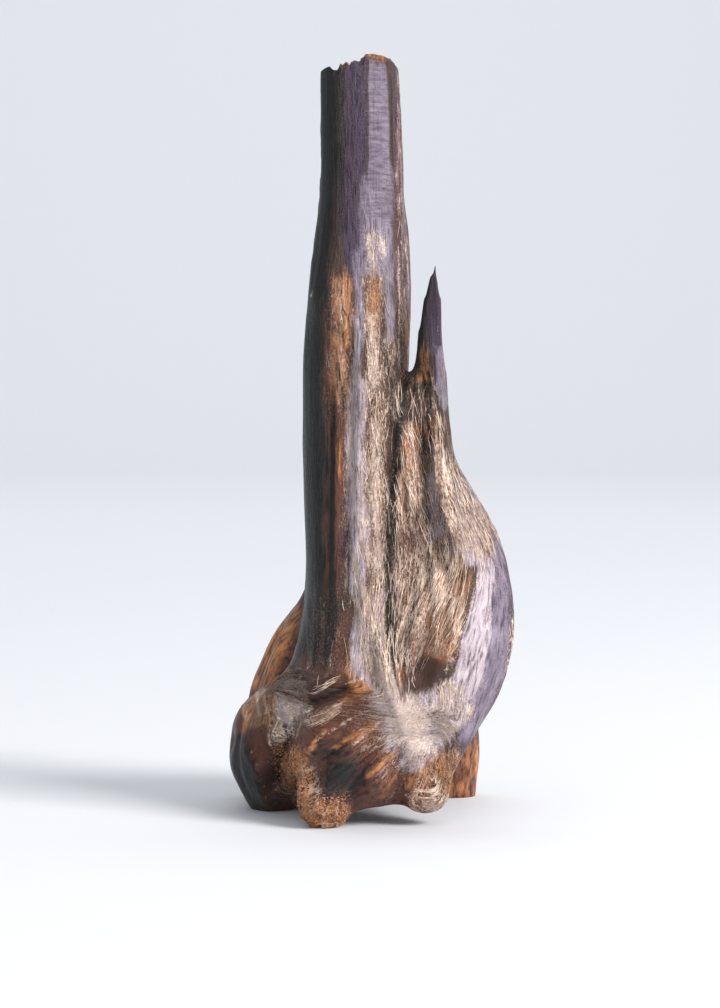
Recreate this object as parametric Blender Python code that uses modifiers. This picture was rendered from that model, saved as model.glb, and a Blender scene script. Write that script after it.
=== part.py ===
"""Agarwood piece: a broken root crown that stands on three feet. A tall snapped stem rises
from it, with a thin upright splinter beside the stem and a rounded flank that sweeps from the
splinter down to the base. The whole piece is one solid.

Run with: blender --background --python part.py
"""

import math

import bmesh
import bpy
import numpy as np
from mathutils import Euler, Matrix, Vector

# Driving dimensions. Every row below is in millimetres on a piece of this height.
HEIGHT = 0.150
MM = HEIGHT / 150.0
CENTRE = (-0.6, -0.2)  # the middle of the footprint, in the rows' own x and y

SKIN_VOXEL = 1.1  # grid on which the limbs grow together
SKIN_FACES = 9000  # triangles left on the skin before the last cuts
SECTION_SIDES = 56
SECTION_STEP = 1.5
SOFTEN_ROUNDS = 16  # rounds of smoothing on the thick base
FINE_HEIGHT = (78.0, 92.0)  # smoothing fades out between these heights, below the splinter
BASE_SHARE = 0.5  # how far a point moves to its neighbours' mean in one round, on the base
FINE_SHARE = 0.42  # how much less it moves on the thin upper parts
FACING = (0.05, 0.6)  # a mark fades in between these slopes towards its view
LATTICE = 32  # random values along each side of the lumps' lattice
STRETCH = (1.0, 1.0, 0.45)  # lumps are longer than they are wide
LUMP_SEED = 3
LUMP_LOSS = 0.6  # how much lower the lumps are on the thin upper parts
FADE = 0.2  # share of a mark's length over which each end fades
LUMP_SIZE = 7.5
LUMP_RISE = 0.45

WOOD_COLOUR = (0.075, 0.045, 0.036, 1.0)
WOOD_ROUGHNESS = 0.42

# Upright limbs. Each row: height, then the left, right, front and back of the section.
STEM = (
    (153.0, -10.5, 5.2, -15.2, -1.6),
    (146.4, -10.6, 5.4, -15.4, -1.2),
    (132.0, -10.5, 6.2, -16.0, -0.6),
    (121.9, -10.6, 6.4, -16.5, -0.2),
    (114.1, -11.6, 7.5, -17.0, 0.3),
    (108.0, -12.6, 7.9, -17.5, 0.7),
    (102.3, -13.1, 8.0, -18.0, 1.2),
    (92.4, -13.9, 7.8, -18.6, 2.0),
    (82.6, -14.2, 7.5, -19.2, 3.2),
    (62.8, -14.1, 8.0, -20.4, 6.5),
    (47.0, -13.8, 9.0, -21.4, 10.0),
    (37.0, -14.3, 10.0, -22.4, 13.0),
    (29.7, -16.3, 11.0, -23.4, 15.0),
    (20.0, -17.5, 12.0, -24.4, 16.0),
    (9.0, -14.0, 10.0, -22.0, 15.0),
)
SPLINTER = (
    (108.4, 11.9, 12.5, -17.2, -16.0),
    (107.2, 11.3, 12.8, -17.7, -15.4),
    (106.0, 10.6, 13.0, -18.0, -14.9),
    (102.0, 9.6, 13.4, -18.2, -14.4),
    (98.1, 8.9, 13.5, -18.3, -14.0),
    (94.3, 8.5, 13.7, -18.6, -13.2),
    (90.4, 8.1, 14.2, -18.9, -12.5),
    (88.0, 7.6, 14.5, -19.1, -12.0),
    (86.0, 6.4, 14.8, -19.4, -11.2),
    (82.6, 3.8, 15.1, -19.8, -10.0),
    (76.8, 2.0, 15.6, -20.4, -8.4),
    (71.9, 1.0, 16.0, -20.8, -7.2),
    (64.0, 0.0, 17.0, -21.4, -6.0),
    (52.0, 0.0, 18.0, -22.0, -5.0),
)
FLANK = (
    (72.5, 13.0, 16.0, -18.6, -14.0),
    (68.8, 9.0, 17.7, -20.6, -11.0),
    (65.7, 6.5, 20.0, -21.8, -9.6),
    (62.6, 5.0, 21.7, -22.8, -8.6),
    (56.3, 3.0, 24.4, -24.4, -7.4),
    (48.5, 2.0, 26.3, -25.8, -6.6),
    (40.0, 1.0, 27.1, -26.8, -6.4),
    (32.9, 0.0, 26.4, -27.4, -6.8),
    (26.6, 0.0, 24.9, -27.8, -7.8),
    (20.3, 0.0, 22.2, -27.6, -9.4),
    (14.3, 2.0, 18.4, -26.8, -11.6),
    (9.0, 4.0, 15.8, -25.4, -14.4),
    (6.0, 6.0, 14.8, -24.0, -17.0),
)
REAR_WALL = (
    (66.0, -6.0, 4.0, -2.0, 6.0),
    (60.0, -9.0, 7.5, -2.0, 10.5),
    (50.0, -12.2, 11.0, 0.0, 17.0),
    (43.1, -14.4, 13.0, 2.0, 21.0),
    (38.0, -17.4, 15.0, 4.0, 23.4),
    (33.4, -20.2, 17.0, 6.0, 25.2),
    (27.6, -22.4, 19.4, 8.0, 26.6),
    (23.4, -24.1, 21.0, 10.0, 27.2),
    (14.0, -24.6, 22.0, 13.0, 27.6),
    (6.0, -23.4, 22.0, 15.4, 27.0),
    (-3.0, -22.0, 21.8, 16.4, 26.0),
)

# The wood between the stem and the splinter, below their fork.
WEB = (
    (85.0, 2.0, 10.0, -16.8, -9.0),
    (80.0, 1.0, 12.0, -18.4, -8.0),
    (70.0, 0.0, 13.0, -20.0, -6.0),
    (56.0, 0.0, 15.0, -22.4, -5.0),
    (44.0, -2.0, 16.0, -24.2, -4.0),
    (32.0, -4.0, 16.0, -25.6, -4.0),
)
# Flat faces down the stem: the bearing each one looks to, in degrees from the right side, and
# its distance from the middle as a share of the half size.
STEM_FACES = (
    (-150, 0.985),
    (-118, 0.975),
    (-93, 0.955),
    (-56, 0.955),
    (-20, 0.965),
    (16, 0.985),
    (52, 0.960),
    (92, 0.975),
    (131, 0.955),
    (172, 0.985),
)
FACE_SHARPNESS = 16
WALL_FACES = tuple((bearing, 1.0 if bearing % 90 == 0 else 1.16) for bearing in range(0, 360, 45))
PLAIN_FACES = tuple((bearing, 1.02) for bearing in range(0, 360, 24))  # a round section

# Rounded masses: name, centre, half sizes and tilt in degrees about x, y and z.
LOBES = (
    ("front lobe", (-1.5, -12.6, 15.8), (15.4, 16.6, 14.2), (0, 0, 0)),
    ("front foot", (-9.2, -21.4, 5.6), (6.0, 6.6, 7.0), (0, 0, 0)),
    ("knot", (7.4, -20.6, 15.4), (8.4, 7.6, 8.6), (0, 25, 0)),
    ("lip", (10.8, -19.8, 6.0), (5.0, 5.0, 4.8), (0, -10, 0)),
    ("left lobe", (-19.6, 3.4, 12.4), (9.6, 12.8, 12.8), (0, 0, 10)),
    ("left foot", (-20.0, 4.0, 3.5), (6.2, 8.0, 6.4), (0, 0, 0)),
    ("left shoulder", (-14.4, -4.0, 20.0), (8.4, 11.0, 8.8), (0, 20, 0)),
    ("rear shoulder", (-3.0, 5.0, 58.0), (7.0, 7.6, 9.0), (12, 0, 0)),
    ("side burl", (12.0, 17.0, 30.0), (7.6, 8.4, 11.0), (18, -14, 0)),
    ("rear burl", (-14.0, 21.0, 17.0), (7.6, 7.4, 11.0), (0, 0, 0)),
)
# Hollows cut upwards between the feet: name, centre and half sizes.
HOLLOWS = (
    ("vault", (0.0, -3.0, -2.0), (13.5, 16.5, 13.0)),
    ("rear arch", (-8.0, 22.0, -2.0), (7.9, 17.0, 11.5)),
    ("right arch", (20.0, 3.0, -3.0), (15.0, 12.0, 15.0)),
    ("front gap", (6.0, -24.0, -4.0), (11.5, 10.0, 5.8)),
    ("left gap", (-14.8, -12.4, -2.0), (5.4, 7.4, 5.4)),
)

# Marks worked into the skin: the side they are seen from, width, rise and the points of the
# line, each as across and height in that view. A negative rise is a groove. They fade out
# towards both ends.
MARKS = (
    ("front", 5.0, -2.4, ((9.0, 92.0), (8.6, 78.0), (8.5, 60.0), (8.0, 48.0), (6.0, 34.0))),
    ("front", 1.7, 1.3, ((12.0, 98.0), (12.4, 84.0), (12.6, 70.0), (14.4, 61.0), (17.6, 53.0),
                         (18.4, 47.0), (17.0, 41.0), (14.4, 35.0), (11.6, 30.0))),
    ("front", 1.5, -1.3, ((9.4, 82.0), (9.4, 70.0), (11.2, 58.0), (14.4, 49.0), (13.4, 40.0))),
    ("front", 1.3, 0.8, ((6.4, 78.0), (7.0, 62.0), (8.6, 50.0), (8.0, 38.0), (5.6, 30.0))),
    ("front", 1.3, -0.9, ((7.0, 58.0), (10.6, 46.0), (9.6, 37.0), (6.6, 30.0))),
    ("front", 1.8, -2.4, ((-13.0, 23.5), (-15.6, 18.0), (-18.2, 12.0), (-19.8, 3.0))),
    ("front", 1.7, 1.8, ((-16.0, 17.6), (-13.4, 19.8), (-9.8, 22.0), (-4.0, 25.0))),
    ("front", 1.5, -1.6, ((-14.4, 22.4), (-9.3, 25.0), (-3.6, 28.0))),
    ("front", 1.4, 0.9, ((-13.0, 26.4), (-9.0, 28.4), (-4.0, 31.0))),
    ("front", 1.6, -0.7, ((24.6, 60.0), (25.0, 42.0), (22.9, 31.0), (17.0, 18.0))),
    ("front", 1.4, -0.6, ((20.4, 62.0), (22.6, 50.0), (21.9, 40.4), (19.4, 31.0), (13.6, 20.0))),
    ("front", 2.2, -1.3, ((0.4, 21.0), (-2.6, 12.0), (-4.4, 2.0))),
    ("front", 1.8, -1.0, ((-4.6, 21.5), (-9.2, 13.6), (-13.0, 5.0))),
    ("front", 1.8, -1.0, ((6.0, 16.0), (4.4, 9.0), (5.6, 2.0))),
    ("front", 1.5, 1.0, ((-11.0, 17.4), (-14.0, 12.6), (-16.4, 8.0))),
    ("front", 1.2, 1.0, ((-25.6, 15.0), (-23.0, 9.6), (-21.8, 4.8), (-20.5, 0.0))),
    ("front", 1.3, -0.9, ((-4.6, 104.0), (-4.6, 77.0), (-5.4, 59.0), (-5.8, 40.0))),
    ("front", 1.6, 0.9, ((-1.2, 104.0), (-2.1, 77.0), (-2.5, 59.0), (-1.7, 46.0), (1.6, 31.0))),
    ("front", 1.3, -1.0, ((3.0, 96.0), (2.2, 66.0), (1.6, 50.0), (2.4, 38.0), (5.0, 27.0))),
    ("front", 1.6, 1.0, ((1.6, 34.0), (4.4, 24.0), (6.4, 16.0))),
    ("front", 1.2, -0.7, ((-8.4, 92.0), (-9.0, 66.0), (-9.0, 40.0), (-11.0, 26.0))),
    ("front", 1.3, 0.7, ((12.4, 16.0), (11.6, 10.0), (13.0, 4.0))),
    ("left", 1.6, -0.8, ((-5.0, 150.0), (-4.0, 96.0), (-2.0, 60.0), (-1.0, 30.0))),
    ("left", 1.3, -0.6, ((0.5, 134.0), (2.0, 84.0), (4.0, 44.0))),
    ("left", 3.2, -2.0, ((14.0, 60.0), (10.5, 42.0), (7.0, 27.0))),
    ("left", 1.8, -1.0, ((5.0, 26.0), (8.0, 14.0), (8.6, 0.0))),
    ("left", 1.6, -0.8, ((-3.0, 22.0), (-2.0, 10.0), (0.0, 0.0))),
    ("left", 2.0, 1.2, ((19.0, 46.0), (22.0, 24.0), (21.0, 2.0))),
    ("left", 1.6, -1.0, ((16.0, 38.0), (17.6, 20.0), (16.8, 2.0))),
    ("left", 1.4, -0.8, ((24.4, 34.0), (25.0, 18.0), (24.4, 2.0))),
    ("right", 1.8, -0.8, ((-21.5, 68.0), (-21.0, 42.0), (-20.0, 16.0))),
    ("right", 1.6, -0.9, ((-15.0, 70.0), (-13.6, 44.0), (-15.0, 14.0))),
    ("right", 1.5, 0.8, ((-18.2, 66.0), (-17.4, 42.0), (-18.0, 16.0))),
    ("right", 4.6, -1.8, ((-2.0, 66.0), (1.0, 44.0), (3.0, 22.0))),
    ("right", 1.5, -1.0, ((19.0, 34.0), (20.0, 14.0), (19.4, 0.0))),
    ("right", 1.6, 1.0, ((23.6, 40.0), (24.0, 16.0), (23.4, 0.0))),
    ("right", 1.4, -0.7, ((-3.6, 150.0), (-3.4, 110.0), (-2.0, 72.0))),
    ("back", 3.6, -3.6, ((-7.0, 4.0), (-5.4, 24.0), (-3.0, 40.0), (-1.6, 62.0))),
    ("back", 2.6, 1.4, ((-17.0, 4.0), (-14.4, 30.0), (-7.0, 60.0))),
    ("back", 3.0, 1.4, ((12.0, 0.0), (10.4, 30.0), (4.6, 62.0))),
    ("back", 1.8, -1.2, ((-20.6, 0.0), (-17.8, 24.0), (-13.0, 42.0))),
    ("back", 1.8, -1.3, ((17.0, 0.0), (15.4, 24.0), (9.4, 46.0))),
    ("back", 1.6, -1.1, ((5.4, 0.0), (5.0, 24.0), (1.8, 56.0))),
    ("back", 2.2, -1.3, ((-1.0, 152.0), (-1.8, 104.0), (-2.4, 60.0))),
    ("back", 1.4, -0.8, ((-6.4, 150.0), (-7.6, 96.0), (-8.0, 64.0))),
    ("back", 1.4, -0.8, ((3.0, 148.0), (3.6, 100.0), (3.4, 66.0))),
)
# Knobs and pits: the side they are seen from, across, height, width and rise.
KNOBS = (
    ("front", 8.2, 18.4, 3.6, 1.5),
    ("front", 8.6, 30.4, 3.2, -2.8),
    ("front", 10.8, 34.0, 2.4, -1.6),
    ("front", -7.0, 11.0, 3.6, 1.1),
    ("front", 1.2, 10.0, 3.4, 1.0),
    ("front", -19.8, 19.4, 2.2, -1.3),
    ("front", -17.6, 24.4, 2.2, 1.0),
    ("front", -17.6, 10.0, 1.5, 0.9),
    ("front", -15.4, 7.2, 1.5, 0.8),
    ("front", -11.4, 4.4, 1.8, 0.7),
    ("front", 15.6, 53.4, 2.0, 0.9),
    ("front", 18.8, 56.6, 1.8, 0.7),
    ("front", -8.6, 100.0, 3.2, 0.7),
    ("left", -2.0, 74.0, 4.0, 0.8),
    ("left", 2.0, 14.0, 2.6, -1.0),
    ("right", 20.6, 22.0, 2.8, -1.3),
    ("right", 2.0, 84.0, 3.6, 0.8),
    ("back", 13.6, 34.0, 3.0, -1.6),
    ("back", -12.0, 16.0, 2.8, -1.4),
    ("back", 1.6, 90.0, 3.4, 0.9),
    ("back", -4.0, 122.0, 3.0, -0.8),
)
VIEWS = {
    "front": (0, (0.0, -1.0, 0.0)),
    "back": (0, (0.0, 1.0, 0.0)),
    "left": (1, (-1.0, 0.0, 0.0)),
    "right": (1, (1.0, 0.0, 0.0)),
}

# The torn top as seen from the front: across and height along its rim.
BREAK_RIM = (
    (-12.0, 147.8),
    (-10.2, 148.2),
    (-9.0, 148.3),
    (-8.0, 147.6),
    (-6.9, 147.0),
    (-5.9, 147.9),
    (-5.2, 148.0),
    (-4.3, 147.6),
    (-2.7, 148.5),
    (-1.9, 149.2),
    (-1.4, 150.0),
    (3.0, 150.0),
    (4.2, 149.4),
    (6.0, 147.8),
)
BREAK_CENTRE = (-2.5, -8.5)
BREAK_SIDE = 26.0
BREAK_CELLS = 24
BREAK_CLEAR = 170.0  # top of the block that cuts it
BREAK_FRONT = -13.6  # the rim is highest here, and chipped away in front of it
BREAK_CHIP = 0.95  # slope of the chipped front edge
BREAK_FALL = 0.16  # slope of the top away to the back
BREAK_UNEVEN = 0.45  # how far the broken ends stand above and below it
BREAK_WAVES = ((1.1, 2.3), (1.9, -0.7))  # two crossing waves of ends, as turns per mm in x and y
BREAK_EDGE = 3.0  # the ends grow to their full height over this distance behind the front
FLOOR_BLOCK = 120.0  # side of the block that cuts the feet level


def read_table(table, heights):
    """Reads a table of sections at the given heights, along a smooth curve through its rows."""
    rows = np.array(sorted(table), float)
    level, values = rows[:, 0], rows[:, 1:]
    slope = np.gradient(values, level, axis=0)
    low = np.clip(np.searchsorted(level, heights) - 1, 0, len(level) - 2)
    span = (level[low + 1] - level[low])[:, None]
    t = (heights - level[low])[:, None] / span
    start = (2 * t**3 - 3 * t**2 + 1) * values[low] + (t**3 - 2 * t**2 + t) * span * slope[low]
    end = (3 * t**2 - 2 * t**3) * values[low + 1] + (t**3 - t**2) * span * slope[low + 1]
    return start + end


def section_reach(angle, faces):
    """Reach of a section in each direction: where a ray from the middle meets the flat faces,
    with the corners between them rounded off."""
    meets = [np.maximum(np.cos(angle - math.radians(at)), 0.0) / far for at, far in faces]
    return sum(meet**FACE_SHARPNESS for meet in meets) ** (-1 / FACE_SHARPNESS)


def loft(name, table, faces=PLAIN_FACES):
    """Makes one upright limb out of level sections with the given flat faces."""
    level = np.array([row[0] for row in table])
    count = int((level.max() - level.min()) / SECTION_STEP) + 2
    heights = np.linspace(level.min(), level.max(), count)
    left, right, front, back = read_table(table, heights).T[:, :, None]
    angle = np.linspace(0, 2 * math.pi, SECTION_SIDES, endpoint=False)
    reach = section_reach(angle, faces)
    x = (left + right) / 2 + (right - left) / 2 * reach * np.cos(angle)
    y = (front + back) / 2 + (back - front) / 2 * reach * np.sin(angle)
    z = np.broadcast_to(heights[:, None], x.shape)
    rings = np.arange(count * SECTION_SIDES).reshape(count, SECTION_SIDES)
    ahead = np.roll(rings, -1, axis=1)
    sides = np.stack([rings[:-1], ahead[:-1], ahead[1:], rings[1:]], axis=-1).reshape(-1, 4)
    faces = sides.tolist() + [rings[0, ::-1].tolist(), rings[-1].tolist()]
    mesh = bpy.data.meshes.new(name)
    mesh.from_pydata(np.stack([x, y, z], axis=-1).reshape(-1, 3).tolist(), [], faces)
    return mesh


def lobe(name, centre, half, tilt):
    """Makes one rounded mass."""
    place = Matrix.LocRotScale(
        Vector(centre), Euler([math.radians(turn) for turn in tilt]), Vector(half)
    )
    mesh = bpy.data.meshes.new(name)
    shape = bmesh.new()
    bmesh.ops.create_icosphere(shape, subdivisions=4, radius=1.0, matrix=place)
    shape.to_mesh(mesh)
    shape.free()
    return mesh


def joined(name, meshes):
    """Puts all the shells into one mesh."""
    whole = bmesh.new()
    for mesh in meshes:
        whole.from_mesh(mesh)
        bpy.data.meshes.remove(mesh)
    result = bpy.data.meshes.new(name)
    whole.to_mesh(result)
    whole.free()
    return result


def evaluated_copy(obj):
    """Returns the mesh that the object's modifiers give."""
    graph = bpy.context.evaluated_depsgraph_get()
    return bpy.data.meshes.new_from_object(obj.evaluated_get(graph), depsgraph=graph)


def grow_together(obj):
    """Fuses the limbs into one skin."""
    remesh = obj.modifiers.new("fuse", "REMESH")
    remesh.mode = "VOXEL"
    remesh.voxel_size = SKIN_VOXEL
    fused = evaluated_copy(obj)
    obj.modifiers.clear()
    rough = obj.data
    obj.data = fused
    bpy.data.meshes.remove(rough)
    keep_outer_skin(fused)


def keep_outer_skin(mesh):
    """Deletes the small closed bubbles that the fusing leaves inside the wood."""
    skin = bmesh.new()
    skin.from_mesh(mesh)
    unseen = set(skin.verts)
    groups = []
    while unseen:
        group = [unseen.pop()]
        for vertex in group:
            reached = {edge.other_vert(vertex) for edge in vertex.link_edges} & unseen
            unseen -= reached
            group.extend(reached)
        groups.append(group)
    groups.sort(key=len)
    for group in groups[:-1]:
        bmesh.ops.delete(skin, geom=group, context="VERTS")
    skin.to_mesh(mesh)
    skin.free()


def points_of(mesh):
    points = np.empty(len(mesh.vertices) * 3)
    mesh.vertices.foreach_get("co", points)
    return points.reshape(-1, 3)


def normals_of(mesh):
    normals = np.empty(len(mesh.vertices) * 3)
    mesh.vertex_normals.foreach_get("vector", normals)
    return normals.reshape(-1, 3)


def put_points(mesh, points):
    mesh.vertices.foreach_set("co", points.ravel())
    mesh.update()


def ramp(value, start, end):
    """Runs smoothly from 0 at start to 1 at end."""
    t = np.clip((value - start) / (end - start), 0.0, 1.0)
    return t * t * (3 - 2 * t)


def soften(mesh):
    """Rounds the joins between the limbs: each point moves halfway to the mean of its
    neighbours, again and again on the base and hardly at all on the splinter."""
    points = points_of(mesh)
    edges = np.empty(len(mesh.edges) * 2, np.int32)
    mesh.edges.foreach_get("vertices", edges)
    ends = np.concatenate([edges.reshape(-1, 2), edges.reshape(-1, 2)[:, ::-1]])
    neighbours = np.bincount(ends[:, 0], minlength=len(points))[:, None]
    share = BASE_SHARE - FINE_SHARE * ramp(points[:, 2:3], *FINE_HEIGHT)
    for _ in range(SOFTEN_ROUNDS):
        total = [np.bincount(ends[:, 0], points[ends[:, 1], axis], len(points)) for axis in range(3)]
        points = points + share * (np.stack(total, axis=-1) / neighbours - points)
    put_points(mesh, points)


def nearness(points, line, width):
    """How strongly a line marks flat points: 1 on the line, falling off across its width and
    fading out towards its ends."""
    line = np.array(line)
    steps = np.diff(line, axis=0)
    run = np.concatenate([[0.0], np.cumsum(np.linalg.norm(steps, axis=1))])
    nearest, fraction = np.full(len(points), np.inf), np.zeros(len(points))
    for start, step, before, after in zip(line[:-1], steps, run[:-1], run[1:]):
        along = np.clip((points - start) @ step / (step @ step), 0.0, 1.0)
        away = np.linalg.norm(points - start - along[:, None] * step, axis=1)
        closer = away < nearest
        nearest = np.where(closer, away, nearest)
        fraction = np.where(closer, (before + along * (after - before)) / run[-1], fraction)
    fade = ramp(fraction, 0.0, FADE) * (1 - ramp(fraction, 1 - FADE, 1.0))
    return fade * np.exp(-((nearest / width) ** 2))


def lumps(points, size, seed):
    """Smooth noise: random values on a lattice, blended across each cell."""
    lattice = np.random.default_rng(seed).uniform(-1.0, 1.0, (LATTICE, LATTICE, LATTICE))
    cell = points / size
    low = np.floor(cell).astype(int)
    part = cell - low
    part = part * part * (3 - 2 * part)
    total = np.zeros(len(points))
    for corner in np.ndindex(2, 2, 2):
        weight = np.prod(np.where(corner, part, 1 - part), axis=1)
        total += weight * lattice[tuple(((low + corner) % LATTICE).T)]
    return total


def work_the_skin(mesh):
    """Presses the marks into the skin and raises its lumps."""
    points, normals = points_of(mesh), normals_of(mesh)
    lift = LUMP_RISE * lumps(points * STRETCH, LUMP_SIZE, LUMP_SEED)
    lift *= 1 - LUMP_LOSS * ramp(points[:, 2], *FINE_HEIGHT)
    for view, width, rise, line in MARKS:
        axis, facing = VIEWS[view]
        seen = ramp(normals @ facing, *FACING)
        lift += rise * seen * nearness(points[:, (axis, 2)], line, width)
    for view, across, height, width, rise in KNOBS:
        axis, facing = VIEWS[view]
        seen = ramp(normals @ facing, *FACING)
        away = np.hypot(points[:, axis] - across, points[:, 2] - height)
        lift += rise * seen * np.exp(-((away / width) ** 2))
    put_points(mesh, points + normals * lift[:, None])


def thin_out(obj):
    """Leaves large facets where the skin is even and small ones where it bends."""
    triangles = sum(len(face.vertices) - 2 for face in obj.data.polygons)
    thin = obj.modifiers.new("thin", "DECIMATE")
    thin.ratio = SKIN_FACES / triangles


def cut(obj, cutter, name):
    boolean = obj.modifiers.new(name, "BOOLEAN")
    boolean.operation = "DIFFERENCE"
    boolean.solver = "EXACT"
    boolean.object = cutter


def helper(name, mesh, collection):
    cutter = bpy.data.objects.new(name, mesh)
    cutter.hide_render = True
    cutter.display_type = "WIRE"
    collection.objects.link(cutter)
    return cutter


def floor_cutter(collection):
    """A block whose top is the surface that the piece stands on."""
    mesh = bpy.data.meshes.new("floor")
    shape = bmesh.new()
    down = Matrix.Translation((0, 0, -FLOOR_BLOCK / 2))
    bmesh.ops.create_cube(shape, size=FLOOR_BLOCK, matrix=down)
    shape.to_mesh(mesh)
    shape.free()
    return helper("floor", mesh, collection)


def break_height(x, y):
    """Height of the torn top: the rim's line, chipped at the front and falling to the back,
    with fibre ends standing up between."""
    rim = np.interp(x, *np.array(BREAK_RIM).T)
    chip = BREAK_CHIP * np.maximum(BREAK_FRONT - y, 0.0)
    fall = BREAK_FALL * np.maximum(y - BREAK_FRONT, 0.0)
    first, second = (along_x * x + along_y * y for along_x, along_y in BREAK_WAVES)
    ends = BREAK_UNEVEN * np.sin(first) * np.cos(second)
    return rim - chip - fall + ends * ramp(y, BREAK_FRONT, BREAK_FRONT + BREAK_EDGE)


def break_cutter(collection):
    """A block over the stem whose underside is the torn top."""
    sheet = bmesh.new()
    bmesh.ops.create_grid(
        sheet,
        x_segments=BREAK_CELLS,
        y_segments=BREAK_CELLS,
        size=BREAK_SIDE / 2,
        matrix=Matrix.Translation((*BREAK_CENTRE, 0.0)),
    )
    for vertex in sheet.verts:
        vertex.co.z = float(break_height(vertex.co.x, vertex.co.y))
    raised = bmesh.ops.extrude_face_region(sheet, geom=list(sheet.faces))["geom"]
    for vertex in (item for item in raised if isinstance(item, bmesh.types.BMVert)):
        vertex.co.z = BREAK_CLEAR
    bmesh.ops.recalc_face_normals(sheet, faces=list(sheet.faces))
    mesh = bpy.data.meshes.new("torn top")
    sheet.to_mesh(mesh)
    sheet.free()
    return helper("torn top", mesh, collection)


def wood_material():
    material = bpy.data.materials.new("resinous wood")
    material.use_nodes = True
    shader = material.node_tree.nodes["Principled BSDF"]
    shader.inputs["Base Color"].default_value = WOOD_COLOUR
    shader.inputs["Roughness"].default_value = WOOD_ROUGHNESS
    shader.inputs["Metallic"].default_value = 0.0
    return material


def new_collection(name):
    collection = bpy.data.collections.new(name)
    bpy.context.scene.collection.children.link(collection)
    return collection


def main():
    for old in list(bpy.data.objects):
        bpy.data.objects.remove(old, do_unlink=True)
    piece = new_collection("agarwood piece")
    cutters = new_collection("cutters")

    limbs = [
        loft("stem", STEM, STEM_FACES),
        loft("splinter", SPLINTER),
        loft("web", WEB),
        loft("flank", FLANK),
        loft("rear wall", REAR_WALL, WALL_FACES),
    ]
    lobes = [lobe(*row) for row in LOBES]
    wood = bpy.data.objects.new("agarwood", joined("agarwood", limbs + lobes))
    piece.objects.link(wood)
    grow_together(wood)
    for name, centre, half in HOLLOWS:
        cut(wood, helper(name, lobe(name, centre, half, (0, 0, 0)), cutters), name)
    grow_together(wood)
    soften(wood.data)
    work_the_skin(wood.data)
    thin_out(wood)
    cut(wood, floor_cutter(cutters), "stand flat")
    cut(wood, break_cutter(cutters), "torn top")
    wood.data.materials.clear()
    wood.data.materials.append(wood_material())
    for obj in (wood, *cutters.objects):
        obj.scale = (MM, MM, MM)
        obj.location = (-CENTRE[0] * MM, -CENTRE[1] * MM, 0.0)


main()
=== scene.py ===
"""Looks of an agarwood piece: a broken root crown on four feet, with a tall snapped stem, a thin
splinter beside it and a rounded flank. The wood's fine surface, its loose fibres and resin grains
are worked out here with numpy, around the solid that carries them.

Tables of the shape are in millimetres on a piece 150 mm tall, in the frame it was measured in.
"""

import math

import bpy
import numpy as np
from mathutils import Euler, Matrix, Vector


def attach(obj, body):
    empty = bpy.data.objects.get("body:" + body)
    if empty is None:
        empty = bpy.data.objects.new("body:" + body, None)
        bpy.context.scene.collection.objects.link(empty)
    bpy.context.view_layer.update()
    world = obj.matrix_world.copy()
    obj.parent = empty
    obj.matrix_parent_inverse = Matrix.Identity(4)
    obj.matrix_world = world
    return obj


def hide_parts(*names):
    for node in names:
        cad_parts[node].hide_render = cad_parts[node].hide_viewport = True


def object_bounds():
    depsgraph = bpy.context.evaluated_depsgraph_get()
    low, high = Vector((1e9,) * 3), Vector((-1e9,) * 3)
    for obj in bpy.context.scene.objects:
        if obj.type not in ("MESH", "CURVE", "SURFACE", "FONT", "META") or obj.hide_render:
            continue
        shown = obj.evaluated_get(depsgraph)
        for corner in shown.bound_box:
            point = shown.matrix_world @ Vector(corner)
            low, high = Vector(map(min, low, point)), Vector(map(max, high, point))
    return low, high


bl_info = {
    "name": "Agarwood piece",
    "version": (1, 0, 0),
    "blender": (4, 5, 0),
    "location": "3D View > Sidebar > Agarwood",
    "description": "Builds a broken agarwood root crown with its loose fibres and a plain stage",
    "category": "Add Mesh",
}

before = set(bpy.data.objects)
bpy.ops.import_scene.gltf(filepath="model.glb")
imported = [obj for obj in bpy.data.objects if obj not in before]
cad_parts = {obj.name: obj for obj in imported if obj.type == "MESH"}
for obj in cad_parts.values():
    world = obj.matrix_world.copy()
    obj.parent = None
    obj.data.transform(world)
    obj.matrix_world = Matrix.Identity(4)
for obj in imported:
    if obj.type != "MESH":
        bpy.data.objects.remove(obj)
CAD_LOW, CAD_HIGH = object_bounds()
BODY = "root"
NODE = "agarwood"

MM = (CAD_HIGH.z - CAD_LOW.z) / 150.0  # one unit of the tables, in metres
CENTRE = (-0.6, -0.2)  # the middle of the footprint, in the tables' own x and y
SECTION_SIDES = 56
SECTION_STEP = 1.5
LOBE_RINGS = 32
SOFTEN_ROUNDS = 16
BASE_SHARE = 0.5  # how far a point moves to its neighbours' mean in one round, on the base
FINE_SHARE = 0.42  # how much less it moves on the thin upper parts
FINE_HEIGHT = (78.0, 92.0)  # the thin parts begin between these heights
FADE = 0.2  # share of a mark's length over which each end fades
FACING = (0.05, 0.6)  # a mark fades in between these slopes towards its view
LATTICE = 32
LUMP_RISE = 0.45
LUMP_CALM = 0.6  # how much flatter the lumps are on the thin upper parts
SEAM = 0.001  # points closer than this are one point
CRUSHED = 0.03  # the same, where the skin was cut level
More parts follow.
